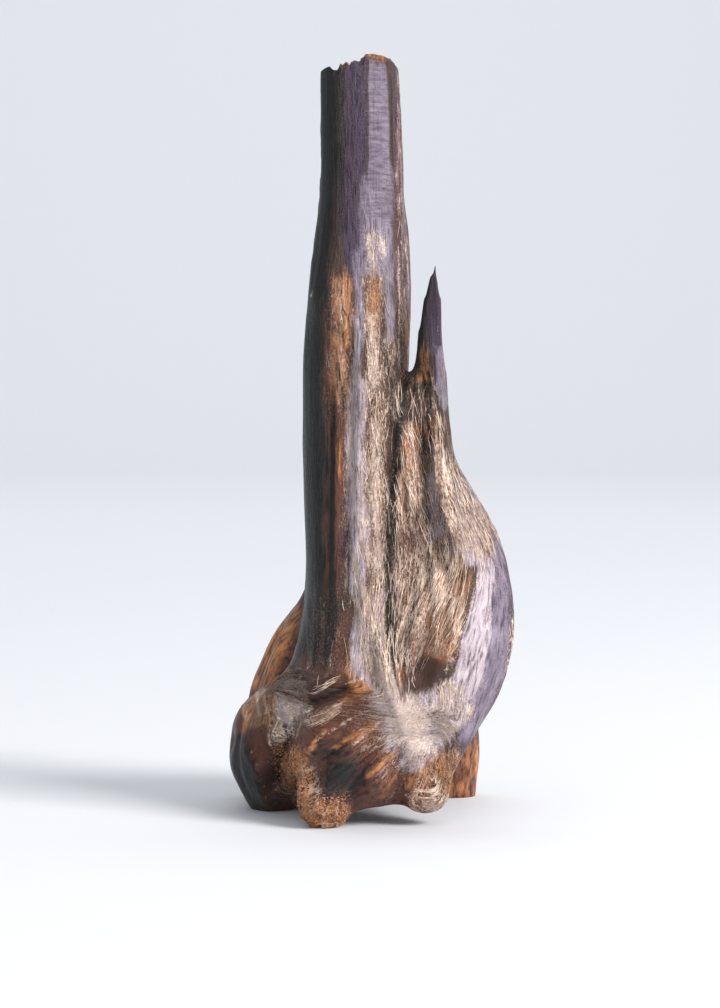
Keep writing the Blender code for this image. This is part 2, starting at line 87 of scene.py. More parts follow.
# Fields of noise: how far it is turned in the skin in degrees, how much it is drawn out along
# the third way, the size of its cells and its seed.
NOISE = {
    "lumps": (0, 0.45, 7.5, 3),
    "long grain": (0, 0.05, 1.1, 11),
    "short grain": (0, 0.08, 0.6, 12),
    "folds": (0, 0.12, 4.2, 13),
    "strands": (9, 0.16, 1.7, 14),
    "felt": (-13, 0.25, 1.2, 17),
    "crumbs": (0, 1.0, 1.3, 15),
    "fine crumbs": (0, 1.0, 0.6, 16),
    "stray across": (0, 0.3, 2.4, 21),
    "stray up": (0, 0.3, 2.4, 22),
    "fine stray across": (0, 0.3, 1.1, 23),
    "fine stray up": (0, 0.3, 1.1, 24),
    "veins": (0, 0.08, 3.4, 31),
    "clouds": (0, 0.16, 5.0, 32),
    "tears": (0, 0.45, 11.0, 33),
    "break": (0, 1.0, 2.4, 61),
    "fibre ends": (0, 1.0, 1.3, 62),
}
TORN_RIDGES = {"folds": 0.6, "strands": 0.5, "felt": 0.45}  # each one's part in the torn relief
SHORT_GRAIN = 0.6  # height beside the long grain's
FINE_CRUMBS = 0.6  # height beside the crumbs'
SHEEN_CALM = 0.5  # how much lower the grain is under the full painted sheen

# Upright limbs. Each row: height, then the left, right, front and back of the section.
STEM = (
    (153.0, -10.5, 5.2, -15.2, -1.6),
    (146.4, -10.6, 5.4, -15.4, -1.2),
    (132.0, -10.5, 6.2, -16.0, -0.6),
    (121.9, -10.6, 6.4, -16.5, -0.2),
    (114.1, -11.6, 7.5, -17.0, 0.3),
    (108.0, -12.6, 7.9, -17.5, 0.7),
    (102.3, -13.1, 8.0, -18.0, 1.2),
    (92.4, -13.9, 7.8, -18.6, 2.0),
    (82.6, -14.2, 7.5, -19.2, 3.2),
    (62.8, -14.1, 8.0, -20.4, 6.5),
    (47.0, -13.8, 9.0, -21.4, 10.0),
    (37.0, -14.3, 10.0, -22.4, 13.0),
    (29.7, -16.3, 11.0, -23.4, 15.0),
    (20.0, -17.5, 12.0, -24.4, 16.0),
    (9.0, -14.0, 10.0, -22.0, 15.0),
)
SPLINTER = (
    (108.9, 11.9, 12.5, -17.2, -16.0),
    (107.5, 11.3, 12.8, -17.7, -15.4),
    (106.0, 10.6, 13.0, -18.0, -14.9),
    (102.0, 9.6, 13.4, -18.2, -14.4),
    (98.1, 8.9, 13.5, -18.3, -14.0),
    (94.3, 8.5, 13.7, -18.6, -13.2),
    (90.4, 8.1, 14.2, -18.9, -12.5),
    (88.0, 7.6, 14.5, -19.1, -12.0),
    (86.0, 6.4, 14.8, -19.4, -11.2),
    (82.6, 3.8, 15.1, -19.8, -10.0),
    (76.8, 2.0, 15.6, -20.4, -8.4),
    (71.9, 1.0, 16.0, -20.8, -7.2),
    (64.0, 0.0, 17.0, -21.4, -6.0),
    (52.0, 0.0, 18.0, -22.0, -5.0),
)
FLANK = (
    (72.5, 13.0, 16.0, -18.6, -14.0),
    (68.8, 9.0, 17.7, -20.6, -11.0),
    (65.7, 6.5, 20.0, -21.8, -9.6),
    (62.6, 5.0, 21.7, -22.8, -8.6),
    (56.3, 3.0, 24.4, -24.4, -7.4),
    (48.5, 2.0, 26.3, -25.8, -6.6),
    (40.0, 1.0, 27.1, -26.8, -6.4),
    (32.9, 0.0, 26.4, -27.4, -6.8),
    (26.6, 0.0, 24.9, -27.8, -7.8),
    (20.3, 0.0, 22.2, -27.6, -9.4),
    (14.3, 2.0, 18.4, -26.8, -11.6),
    (9.0, 4.0, 15.8, -25.4, -14.4),
    (6.0, 6.0, 14.8, -24.0, -17.0),
)
REAR_WALL = (
    (66.0, -6.0, 4.0, -2.0, 6.0),
    (60.0, -9.0, 7.5, -2.0, 10.5),
    (50.0, -12.2, 11.0, 0.0, 17.0),
    (43.1, -14.4, 13.0, 2.0, 21.0),
    (38.0, -17.4, 15.0, 4.0, 23.4),
    (33.4, -20.2, 17.0, 6.0, 25.2),
    (27.6, -22.4, 19.4, 8.0, 26.6),
    (23.4, -24.1, 21.0, 10.0, 27.2),
    (14.0, -24.6, 22.0, 13.0, 27.6),
    (6.0, -23.4, 22.0, 15.4, 27.0),
    (-3.0, -22.0, 21.8, 16.4, 26.0),
)
WEB = (
    (85.0, 2.0, 10.0, -16.8, -9.0),
    (80.0, 1.0, 12.0, -18.4, -8.0),
    (70.0, 0.0, 13.0, -20.0, -6.0),
    (56.0, 0.0, 15.0, -22.4, -5.0),
    (44.0, -2.0, 16.0, -24.2, -4.0),
    (32.0, -4.0, 16.0, -25.6, -4.0),
)

# Flat faces of a section: the bearing each one looks to, and its distance as a share of the
# half size.
STEM_FACES = (
    (-150, 0.985),
    (-118, 0.975),
    (-93, 0.955),
    (-56, 0.955),
    (-20, 0.965),
    (16, 0.985),
    (52, 0.960),
    (92, 0.975),
    (131, 0.955),
    (172, 0.985),
)
FACE_SHARPNESS = 16
WALL_FACES = tuple((bearing, 1.0 if bearing % 90 == 0 else 1.16) for bearing in range(0, 360, 45))
PLAIN_FACES = tuple((bearing, 1.02) for bearing in range(0, 360, 24))

# Rounded masses: centre, half sizes and tilt in degrees about x, y and z.
LOBES = (
    ((-1.5, -12.6, 15.8), (15.4, 16.6, 14.2), (0, 0, 0)),
    ((-9.2, -21.4, 5.6), (6, 6.6, 7), (0, 0, 0)),
    ((7.4, -20.6, 15.4), (8.4, 7.6, 8.6), (0, 25, 0)),
    ((10.8, -19.8, 6), (5, 5, 4.8), (0, -10, 0)),
    ((-19.6, 3.4, 12.4), (9.6, 12.8, 12.8), (0, 0, 10)),
    ((-20, 4, 3.5), (6.2, 8, 6.4), (0, 0, 0)),
    ((-14.4, -4, 20), (8.4, 11, 8.8), (0, 20, 0)),
    ((-3, 5, 58), (7, 7.6, 9), (12, 0, 0)),
    ((12, 17, 30), (7.6, 8.4, 11), (18, -14, 0)),
    ((-14, 21, 17), (7.6, 7.4, 11), (0, 0, 0)),
)
# Hollows between the feet: centre and half sizes.
HOLLOWS = (
    ((0, -3, -2), (13.5, 16.5, 13)),
    ((-8, 22, -2), (7.9, 17, 11.5)),
    ((20, 3, -3), (15, 12, 15)),
    ((6, -24, -4), (11.5, 10, 5.8)),
    ((-14.8, -12.4, -2), (5.4, 7.4, 5.4)),
)

# Lines and outlines that more than one row below goes by.
BASE_VALLEY = ((-14.4, 22.4), (-9.3, 25), (-3.6, 28))
LEFT_FOLD = ((-13, 23.5), (-15.6, 18), (-18.2, 12), (-19.8, 3))
LIP = ((9.6, 15.6), (16.8, 16), (16.6, 2.4), (7, 2.4))
LOBE_TOP = ((-21.6, 29.6), (-13.6, 29), (-12, 22), (-17.6, 13), (-21, 14))
# Marks in the skin, by the side they are seen from: width, rise, and the points of the line as
# across and height in that view. A negative rise is a groove.
MARKS = {"front": (
    (5, -2.4, ((9, 92), (8.6, 78), (8.5, 60), (8, 48), (6, 34))),
    (1.7, 1.3, ((12, 98), (12.4, 84), (12.6, 70), (14.4, 61), (17.6, 53), (18.4, 47), (17, 41),
        (14.4, 35), (11.6, 30))),
    (1.5, -1.3, ((9.4, 82), (9.4, 70), (11.2, 58), (14.4, 49), (13.4, 40))),
    (1.3, 0.8, ((6.4, 78), (7, 62), (8.6, 50), (8, 38), (5.6, 30))),
    (1.3, -0.9, ((7, 58), (10.6, 46), (9.6, 37), (6.6, 30))),
    (1.8, -2.4, LEFT_FOLD),
    (1.7, 1.8, ((-16, 17.6), (-13.4, 19.8), (-9.8, 22), (-4, 25))),
    (1.5, -1.6, BASE_VALLEY),
    (1.4, 0.9, ((-13, 26.4), (-9, 28.4), (-4, 31))),
    (1.6, -0.7, ((24.6, 60), (25, 42), (22.9, 31), (17, 18))),
    (1.4, -0.6, ((20.4, 62), (22.6, 50), (21.9, 40.4), (19.4, 31), (13.6, 20))),
    (2.2, -1.3, ((0.4, 21), (-2.6, 12), (-4.4, 2))),
    (1.8, -1, ((-4.6, 21.5), (-9.2, 13.6), (-13, 5))),
    (1.8, -1, ((6, 16), (4.4, 9), (5.6, 2))),
    (1.5, 1, ((-11, 17.4), (-14, 12.6), (-16.4, 8))),
    (1.2, 1, ((-25.6, 15), (-23, 9.6), (-21.8, 4.8), (-20.5, 0))),
    (1.3, -0.9, ((-4.6, 104), (-4.6, 77), (-5.4, 59), (-5.8, 40))),
    (1.6, 0.9, ((-1.2, 104), (-2.1, 77), (-2.5, 59), (-1.7, 46), (1.6, 31))),
    (1.3, -1, ((3, 96), (2.2, 66), (1.6, 50), (2.4, 38), (5, 27))),
    (1.6, 1, ((1.6, 34), (4.4, 24), (6.4, 16))),
    (1.2, -0.7, ((-8.4, 92), (-9, 66), (-9, 40), (-11, 26))),
    (1.3, 0.7, ((12.4, 16), (11.6, 10), (13, 4))),
), "left": (
    (1.6, -0.8, ((-5, 150), (-4, 96), (-2, 60), (-1, 30))),
    (1.3, -0.6, ((0.5, 134), (2, 84), (4, 44))),
    (3.2, -2, ((14, 60), (10.5, 42), (7, 27))),
    (1.8, -1, ((5, 26), (8, 14), (8.6, 0))),
    (1.6, -0.8, ((-3, 22), (-2, 10), (0, 0))),
    (2, 1.2, ((19, 46), (22, 24), (21, 2))),
    (1.6, -1, ((16, 38), (17.6, 20), (16.8, 2))),
    (1.4, -0.8, ((24.4, 34), (25, 18), (24.4, 2))),
), "right": (
    (1.8, -0.8, ((-21.5, 68), (-21, 42), (-20, 16))),
    (1.6, -0.9, ((-15, 70), (-13.6, 44), (-15, 14))),
    (1.5, 0.8, ((-18.2, 66), (-17.4, 42), (-18, 16))),
    (4.6, -1.8, ((-2, 66), (1, 44), (3, 22))),
    (1.5, -1, ((19, 34), (20, 14), (19.4, 0))),
    (1.6, 1, ((23.6, 40), (24, 16), (23.4, 0))),
    (1.4, -0.7, ((-3.6, 150), (-3.4, 110), (-2, 72))),
), "back": (
    (3.6, -3.6, ((-7, 4), (-5.4, 24), (-3, 40), (-1.6, 62))),
    (2.6, 1.4, ((-17, 4), (-14.4, 30), (-7, 60))),
    (3, 1.4, ((12, 0), (10.4, 30), (4.6, 62))),
    (1.8, -1.2, ((-20.6, 0), (-17.8, 24), (-13, 42))),
    (1.8, -1.3, ((17, 0), (15.4, 24), (9.4, 46))),
    (1.6, -1.1, ((5.4, 0), (5, 24), (1.8, 56))),
    (2.2, -1.3, ((-1, 152), (-1.8, 104), (-2.4, 60))),
    (1.4, -0.8, ((-6.4, 150), (-7.6, 96), (-8, 64))),
    (1.4, -0.8, ((3, 148), (3.6, 100), (3.4, 66))),
)}
# Knobs and pits, by side: across, height, width and rise.
KNOBS = {"front": (
    (8.2, 18.4, 3.6, 1.5),
    (8.6, 30.4, 3.2, -2.8),
    (10.8, 34, 2.4, -1.6),
    (-7, 11, 3.6, 1.1),
    (1.2, 10, 3.4, 1),
    (-19.8, 19.4, 2.2, -1.3),
    (-17.6, 24.4, 2.2, 1),
    (-17.6, 10, 1.5, 0.9),
    (-15.4, 7.2, 1.5, 0.8),
    (-11.4, 4.4, 1.8, 0.7),
    (15.6, 53.4, 2, 0.9),
    (18.8, 56.6, 1.8, 0.7),
    (-8.6, 100, 3.2, 0.7),
), "left": (
    (-2, 74, 4, 0.8),
    (2, 14, 2.6, -1),
), "right": (
    (20.6, 22, 2.8, -1.3),
    (2, 84, 3.6, 0.8),
), "back": (
    (13.6, 34, 3, -1.6),
    (-12, 16, 2.8, -1.4),
    (1.6, 90, 3.4, 0.9),
    (-4, 122, 3, -0.8),
)}
VIEWS = {
    "front": (0, (0.0, -1.0, 0.0)),
    "back": (0, (0.0, 1.0, 0.0)),
    "left": (1, (-1.0, 0.0, 0.0)),
    "right": (1, (1.0, 0.0, 0.0)),
}

# The torn top as seen from the front: across and height along its rim.
BREAK_RIM = (
    (-12.0, 147.8),
    (-10.2, 148.2),
    (-9.0, 148.3),
    (-8.4, 148.2),
    (-7.8, 147.3),
    (-6.9, 147.0),
    (-6.3, 148.3),
    (-5.7, 147.6),
    (-5.1, 148.4),
    (-4.5, 147.7),
    (-3.7, 148.7),
    (-2.6, 148.5),
    (-1.9, 149.3),
    (-1.4, 150.0),
    (3.0, 150.0),
    (4.2, 149.4),
    (6.0, 147.8),
)
BREAK_FRONT = -13.6
BREAK_CHIP = 0.95
BREAK_FALL = 0.16
BREAK_BEGINS = (BREAK_FRONT - 0.6, BREAK_FRONT + 1.6)  # the uneven wood behind the front edge
BREAK_CALM = 0.3  # share of the unevenness that the front edge has
BREAK_SUNK = 0.3  # how much lower the uneven wood lies
BREAK_ROUGH = 0.35
BREAK_STEP = 0.25  # between bundles of fibre that broke at different heights
BREAK_EDGE = 0.1  # share of the noise over which one bundle's height goes over into the next
BREAK_ROUND = 0.5  # how far the rim is rounded down
BREAK_ROUND_FROM = (0.8, 1.1)  # where that begins and ends, as shares of the top's half size
BREAK_ZONE = 140.0  # nothing below this height belongs to the torn top
TOP_CENTRE = (-2.8, -8.2)
TOP_HALF = (7.6, 7.0)

# Course of the fibres down the front: height, then how far across seven fibres lie there.
FIBRE_LINES = (
    (153.0, -10.3, -5.4, 0.0, 2.9, 8.6, 11.0, 12.4),
    (112.0, -11.4, -5.4, -0.1, 3.2, 8.8, 11.2, 12.6),
    (102.0, -12.8, -5.4, -0.2, 3.4, 9.0, 11.5, 13.0),
    (82.7, -13.6, -5.4, -0.4, 3.7, 8.2, 12.6, 15.2),
    (73.0, -13.8, -5.4, -0.4, 3.5, 8.6, 13.4, 16.6),
    (63.3, -13.8, -5.4, -0.5, 3.0, 9.1, 15.4, 20.4),
    (51.6, -13.6, -5.6, -0.6, 2.5, 10.2, 18.4, 25.6),
    (46.0, -13.6, -5.8, -0.6, 2.3, 8.8, 16.4, 26.8),
    (40.0, -13.6, -6.0, -0.6, 2.2, 6.8, 13.6, 27.4),
    (32.2, -14.4, -7.0, -0.6, 2.6, 5.0, 10.4, 26.8),
    (26.4, -16.0, -8.6, -0.6, 3.6, 5.8, 9.2, 25.0),
    (20.0, -18.0, -10.4, -1.0, 4.4, 7.0, 10.0, 22.0),
    (8.0, -19.0, -12.0, -2.0, 4.6, 8.0, 11.0, 15.6),
    (-4.0, -19.0, -12.0, -2.0, 4.6, 8.0, 11.0, 15.6),
)
FIBRE_PLACES = (-13.8, -5.4, -0.5, 3.0, 9.1, 15.4, 25.0)  # the same fibres halfway down
FLANK_BEGINS = (0.0, 14.0)  # across which the skin's depth goes over from the stem's to the flank's
# The skin's depth: height, then the front of the stem, the front of the flank and the back.
DEPTH_LINES = (
    (153.0, -15.2, -16.5, -1.6),
    (122.0, -16.5, -16.8, -0.2),
    (102.0, -18.0, -17.6, 1.2),
    (82.6, -19.2, -19.8, 3.2),
    (66.0, -20.4, -21.6, 6.6),
    (56.0, -21.0, -24.4, 13.0),
    (45.0, -21.6, -26.2, 20.0),
    (33.0, -22.8, -27.3, 25.4),
    (23.0, -24.2, -27.6, 27.2),
    (12.0, -26.4, -26.6, 27.6),
    (-4.0, -24.0, -24.0, 26.4),
)
DEPTH_SCALE = 18.0
# Sides of the back: height, left and right.
BACK_LINES = (
    (153.0, -10.5, 4.7),
    (66.0, -14.0, 8.0),
    (50.0, -14.4, 12.0),
    (42.0, -15.6, 14.0),
    (33.0, -20.4, 17.4),
    (23.0, -24.2, 21.0),
    (12.0, -24.6, 22.0),
    (-4.0, -22.0, 21.8),
)
BACK_SCALE = 11.0
BACK_BEGINS = (4.0, 14.0)  # the grain of the back takes over between these depths
KNOT = (12.0, 25.5)  # the fibres of the front base spread from here
KNOT_SCALE = 9.0
KNOT_CUT = math.radians(45)  # bearing at which the angles round the knot start again
BASE_FRONT = (4.0, 11.0)  # the grain spreads from the knot this far in front of the middle,
BASE_TOP = (19.0, 27.0)  # below these heights,
BASE_SLANT = 0.25  # which are lower towards the right,
BASE_RIGHT = (12.0, 17.0)  # and left of these places


def strip(top, top_left, top_right, foot, foot_left, foot_right):
    """A four-sided outline with a level top and foot: the height, left and right of each."""
    return ((top_left, top), (top_right, top), (foot_right, foot), (foot_left, foot))


# Finishes laid on the wood, among them painted sheen, highlights and shade, by the side they are seen
# from. Patches: the finish, its strength, the width of its edge and its outline.
PATCHES = {"front": (
    # the stem above the splinter
    # black resin on the stem's left third, also painted shade of the side turned from the light
    ("soot", 1, 7.3, ((-18, 156), (-6.4, 156), (-6, 130), (-6.6, 117), (-8.2, 107), (-9.4, 98),
        (-9.4, 80), (-9.2, 60), (-8.8, 44), (-10, 34), (-18, 36))),
    ("violet", 0.85, 3.2, ((-5.8, 156), (-0.6, 156), (-0.6, 118), (-2, 104), (-5.8, 104), (-6.2, 120))),
    # painted sheen: the lavender reflection of the light on the lit facet of the stem
    ("bloom", 0.9, 1, ((-0.9, 148.9), (2.6, 148.9), (3.4, 124), (-0.8, 120))),
    ("bloom", 0.8, 3.4, ((-2.4, 126), (3.8, 128), (4.4, 106), (-2.8, 106))),
    ("bloom", 0.2, 3.6, ((-3.6, 148), (-0.4, 148.4), (-0.4, 106), (-3, 106))),
    ("rust", 0.9, 0.6, ((-1.2, 153), (6.4, 153), (6.4, 148.9), (-1.2, 149.1))),
    ("rust", 0.5, 1.2, strip(149, 4, 8.6, 86, 5, 9.6)),
    ("violet", 0.8, 2, strip(149, 3.4, 9, 100, 5, 9.6)),
    ("bloom", 0.42, 2, strip(147, 4.4, 7.6, 100, 5.2, 8.8)),
    ("bloom", 0.75, 2.4, ((1.6, 116), (4, 116), (4.4, 95), (2.4, 92))),
    ("bloom", 0.66, 2.6, ((-4, 112), (-1.4, 112), (-1.6, 88), (-4, 90))),
    ("fleck", 0.46, 2.2, strip(147, 4.2, 7.8, 86, 4.8, 8.2)),
    ("fleck", 0.62, 3.4, ((-1.6, 116), (2.2, 116), (2.8, 90), (-2, 92))),
    ("amber", 0.5, 3.2, strip(108, -1.6, 2.2, 94, -1.8, 2.4)),
    ("fibrous", 0.5, 1.4, strip(147, 4.4, 8.8, 86, 4.8, 9.2)),
    # amber windows and red wood down its left
    ("amber", 0.74, 5.4, ((-8.6, 108), (-4, 107), (-3, 97), (-8, 96))),
    ("amber", 0.66, 4.9, ((-9, 99), (-4.4, 99), (-3.8, 91.6), (-8.6, 91))),
    ("amber", 0.74, 4.9, ((-8.2, 91.6), (-4.6, 91.6), (-4.2, 80.6), (-7.8, 81))),
    ("fleck", 0.5, 4.4, ((-8.6, 108), (-4, 107), (-3.4, 80), (-8.6, 80))),
    ("rust", 0.85, 4.1, ((-9.6, 108), (-5, 108), (-4.6, 80), (-5.4, 62), (-6.6, 44), (-9.6, 44),
        (-9.4, 80))),
    ("violet", 0.9, 2.7, ((-7.4, 70), (-4.4, 72), (-4.2, 52), (-6.6, 50))),
    # the pale bands down the middle: pale wood under a painted sheen
    ("frost", 0.76, 2.6, ((-4.8, 100), (-2.6, 98), (-2, 70), (-4.4, 72))),
    ("frost", 0.9, 3, ((-5.2, 84), (-1.4, 86), (-0.8, 60), (-1.4, 46), (-4.2, 44), (-4.8, 62))),
    ("fleck", 0.5, 2.7, strip(96, -1.8, 5.6, 78, -1.4, 6)),
    ("fleck", 0.95, 2.2, ((-1.2, 88), (2.8, 88), (3, 60), (2.6, 42), (-1, 42))),
    ("fleck", 0.5, 3.2, strip(90, -5.4, -0.8, 42, -6.4, -0.8)),
    ("fibrous", 0.6, 2, ((-1.8, 106), (6.6, 106), (6.6, 84), (3, 60), (2.4, 30), (-1.4, 24), (-4, 30),
        (-3.6, 48), (-1.6, 60))),
    # the torn wood between the stem and the flank
    ("fibrous", 1, 1, ((6.3, 86.6), (5, 82.7), (3.7, 73), (3, 63.3), (2.4, 51.7), (2.2, 43.9),
        (2, 36.1), (2.8, 30.3), (5.3, 24.5), (8, 25.2), (10.2, 27.4), (13.1, 31.3), (15.2, 35.2),
        (17.3, 40.9), (18.1, 46.8), (17.3, 52.7), (16, 59.4), (15, 67.2), (13.6, 74.9), (13.1, 81.7),
        (11.4, 87.5), (9.4, 88.5))),
    ("fleck", 0.62, 4, ((3.9, 73), (3.2, 63.3), (2.8, 51.7), (2.4, 43.9), (3.6, 30.3), (6.4, 28.5),
        (10.2, 32.4), (13.1, 35.3), (16.2, 40.2), (18.1, 46.8), (16, 59.4), (15.4, 73))),
    ("fleck", 0.34, 2.4, ((6.8, 88), (5.2, 82.7), (3.9, 68), (15.6, 68), (13.8, 84), (10.4, 90.5))),
    ("amber", 0.5, 5.4, ((5, 78), (11.6, 78), (11.4, 62), (5, 60))),
    ("amber", 0.66, 4.3, ((13.6, 54), (18.6, 53), (18, 40), (10, 35), (8, 42))),
    ("rust", 0.9, 5.4, ((4.6, 78), (12, 78), (17, 50), (16, 34), (5, 28))),
    ("bloom", 0.66, 4.1, strip(74, 10.6, 15, 55, 10, 15.4)),
    ("soot", 0.6, 3.6, strip(64, 6.2, 9.4, 55, 6.2, 9.2)),
    ("amber", 0.8, 4, strip(78, 5.6, 10.8, 66, 5.6, 10.8)),
    ("amber", 0.62, 3, ((10, 44), (17.6, 44), (18, 38), (14, 31), (10.4, 33))),
    ("fleck", 0.66, 2.4, ((11, 42), (17.6, 44), (18.2, 39), (14.6, 31.6), (11.4, 33))),
    ("soot", 0.55, 3, ((2.6, 58), (5, 58), (5.6, 36), (3.2, 32))),
    ("soot", 0.62, 3, ((8.6, 108), (12.2, 108), (12.2, 88), (6, 86))),
    ("violet", 0.8, 2.2, ((8.6, 108), (14, 108), (14.6, 84), (10, 86))),
    ("fleck", 0.38, 2, strip(102, 12.8, 14.8, 66, 13.6, 17.6)),
    ("amber", 0.7, 1.9, strip(94, 9.4, 11.8, 86, 8.4, 11.8)),
    ("bloom", 0.75, 1.2, strip(93.4, 12.4, 14.4, 81, 12.8, 15)),
    # the flank, with lit bands of painted sheen
    ("fleck", 0.72, 3.2, ((14, 74), (20, 70), (25.6, 58), (24, 51), (15.4, 53))),
    ("fibrous", 0.66, 2, ((13, 72), (16.4, 74), (22, 63), (24, 54), (20.4, 46), (16, 50))),
    ("bloom", 0.7, 3.2, ((15, 68), (20, 68), (25, 56), (22, 50), (15, 52))),
    ("frost", 0.8, 2.7, ((15.8, 60.6), (22.4, 60.6), (22.4, 51), (17.6, 50))),
    ("frost", 0.72, 2.6, ((19.8, 52), (23.2, 52), (23.4, 43), (22.8, 36), (21.4, 28.6), (19, 24),
        (15, 23.4), (15.2, 30), (16.8, 35.6), (18.4, 41))),
    ("bloom", 0.66, 3.6, ((22.4, 56), (26, 56), (28, 42), (26.6, 30), (21, 17), (15, 15), (19, 26),
        (23, 42))),
    ("violet", 0.9, 2.7, ((22, 60), (30, 60), (30, 20), (14, 10), (18, 24), (22, 40))),
    ("frost", 0.62, 4.1, ((11, 28), (16, 30), (19.6, 22), (13.6, 15))),
    ("fleck", 0.62, 3.2, ((10.4, 29), (16, 30), (19.6, 22), (12.6, 14))),
    # the column that runs down to the knot, the dark wood left of it and the smooth pocket
    ("frost", 0.78, 3.6, ((-3, 46), (2.2, 46), (2.4, 31), (5.8, 25), (0, 25.6), (-5.4, 31),
        (-4.4, 35))),
    ("fleck", 0.84, 2.7, ((-3.4, 47), (2.8, 47), (3, 31), (6.4, 24), (0.4, 24), (-3, 33))),
    ("fleck", 0.3, 4.1, strip(46, -12, -3, 27, -14, -3)),
    ("rust", 0.66, 5.4, ((-13.6, 40), (-2.6, 42), (0, 24), (-14.6, 22))),
    ("fibrous", 0.36, 3, ((-13, 44), (-3, 46), (-3, 27), (-14, 27))),
    ("pocket", 0.9, 2, ((5.6, 26), (6, 30), (7.6, 32.6), (10.8, 33.6), (12.4, 31.6), (11.6, 28.6),
        (9.6, 26))),
    # the base
    # cream on the knot: bare wood with a painted highlight on it
    ("cream", 0.84, 6, ((2.8, 26.4), (7.8, 25.6), (11.2, 21.6), (10.8, 15.6), (7.2, 14.6), (4.6, 16.6),
        (2.8, 20.4))),
    ("cream", 0.55, 4, ((0.4, 34.6), (3.4, 33.8), (6.6, 24.6), (2, 24.4))),
    ("frost", 0.62, 5, ((-1, 26), (6, 28), (16, 27), (15, 17), (8, 9.6), (2, 15))),
    ("fleck", 0.48, 4, ((-3, 26), (6, 28), (16, 27), (15, 15), (8, 9.6), (1, 13))),
    ("amber", 0.56, 4.1, ((-6.4, 33), (0.6, 32), (0.4, 25.4), (-7, 24))),
    ("amber", 0.36, 6.8, ((-8, 21), (4.4, 24), (8, 10), (4, 2), (-1, 4), (0, 12))),
    ("rust", 0.9, 5.4, ((-14, 24), (6, 26), (13, 12), (8, 0), (-18, 0))),
    ("soot", 0.7, 9, ((-13.4, 17), (-8, 18.6), (-2.4, 17), (-0.4, 9), (-3, 3), (-7.6, 5.4),
        (-12.4, 8))),
    ("violet", 0.7, 4.1, ((-1, 19), (6, 17), (6.6, 8), (0, 6))),
    ("fleck", 0.36, 8.1, ((-8, 24), (9, 26), (10, 6), (1, 4), (-1, 14))),
    ("amber", 0.62, 4.1, ((10, 15), (17, 16), (16, 4), (6, 3), (6, 10))),
    ("fleck", 0.8, 3.2, LIP),
    ("fibrous", 0.8, 2.4, LIP),
    ("amber", 0.7, 4.6, ((-20.4, 15), (-13, 16), (-11, 7), (-18, 5))),
    ("amber", 0.66, 4.6, ((-16.4, 8.6), (-10, 6.6), (-4.6, 7), (-4.6, -1), (-15.8, -1))),
    ("fleck", 0.52, 4.1, ((-20.4, 15.6), (-13, 16), (-9, 6), (-4.6, 6), (-4.6, -1), (-15.8, -1),
        (-18.6, 5))),
    ("crumb", 1, 3.2, ((-19.8, 15), (-14, 15.4), (-12, 10), (-14, 5.6), (-18.6, 6.4))),
    ("crumb", 1, 3.2, ((-15.8, 8.4), (-11, 6.8), (-5.2, 7), (-4.6, -1), (-15.8, -1))),
    ("crumb", 0.6, 3.2, ((10, 14.6), (16, 16), (15, 7), (11, 6))),
    # the left lobe
    ("fleck", 0.88, 2.7, LOBE_TOP),
    ("fibrous", 0.9, 2, LOBE_TOP),
    ("amber", 0.9, 3.6, ((-27.6, 22.6), (-25, 27), (-20, 27.6), (-19.8, 18.4), (-25.6, 16.6))),
    ("fleck", 0.85, 3, ((-27.6, 21.6), (-25, 27), (-19.6, 29), (-19.8, 18.4), (-25, 17))),
    ("cream", 0.6, 3, ((-27.4, 20.4), (-25, 26.8), (-20, 27), (-20.6, 24.6), (-24.2, 23.6))),
    ("bloom", 0.85, 2.2, ((-20, 23.6), (-17, 24.4), (-16.4, 19), (-19.6, 18.6))),
    ("frost", 0.46, 3, ((-20.6, 28.6), (-14.6, 28), (-13, 22.6), (-18, 13), (-20.8, 15))),
    ("soot", 0.85, 3.5, ((-30, 17), (-25.4, 15.6), (-23, 11), (-21.6, -2), (-30, -2))),
    ("rust", 0.7, 4.1, strip(30, -30, -20, 8, -30, -19.6)),
    ("ripple", 1, 3, ((-1.7, 150), (4.4, 150), (5, 116), (-1.4, 118))),
), "behind": (
    # the smooth wood behind
    ("soot", 0.62, 6, ((12, 26), (21, 26), (20, 10), (12, 4))),
    ("amber", 0.46, 6.8, ((14, 13), (24, 14), (24, -3), (14, -3))),
    ("rust", 1, 4.1, strip(60, -30, 30, -3, -30, 30)),
    ("amber", 0.7, 4.1, ((-26, 34), (-17, 46), (-14, 40), (-20, 22), (-26, 22))),
), "left": (
    # the whole left side darkened: painted shade of the side turned from the light, laid as black resin
    ("soot", 0.86, 5.4, ((-24, 156), (6, 156), (10, 60), (4, 34), (-24, 30))),
)}
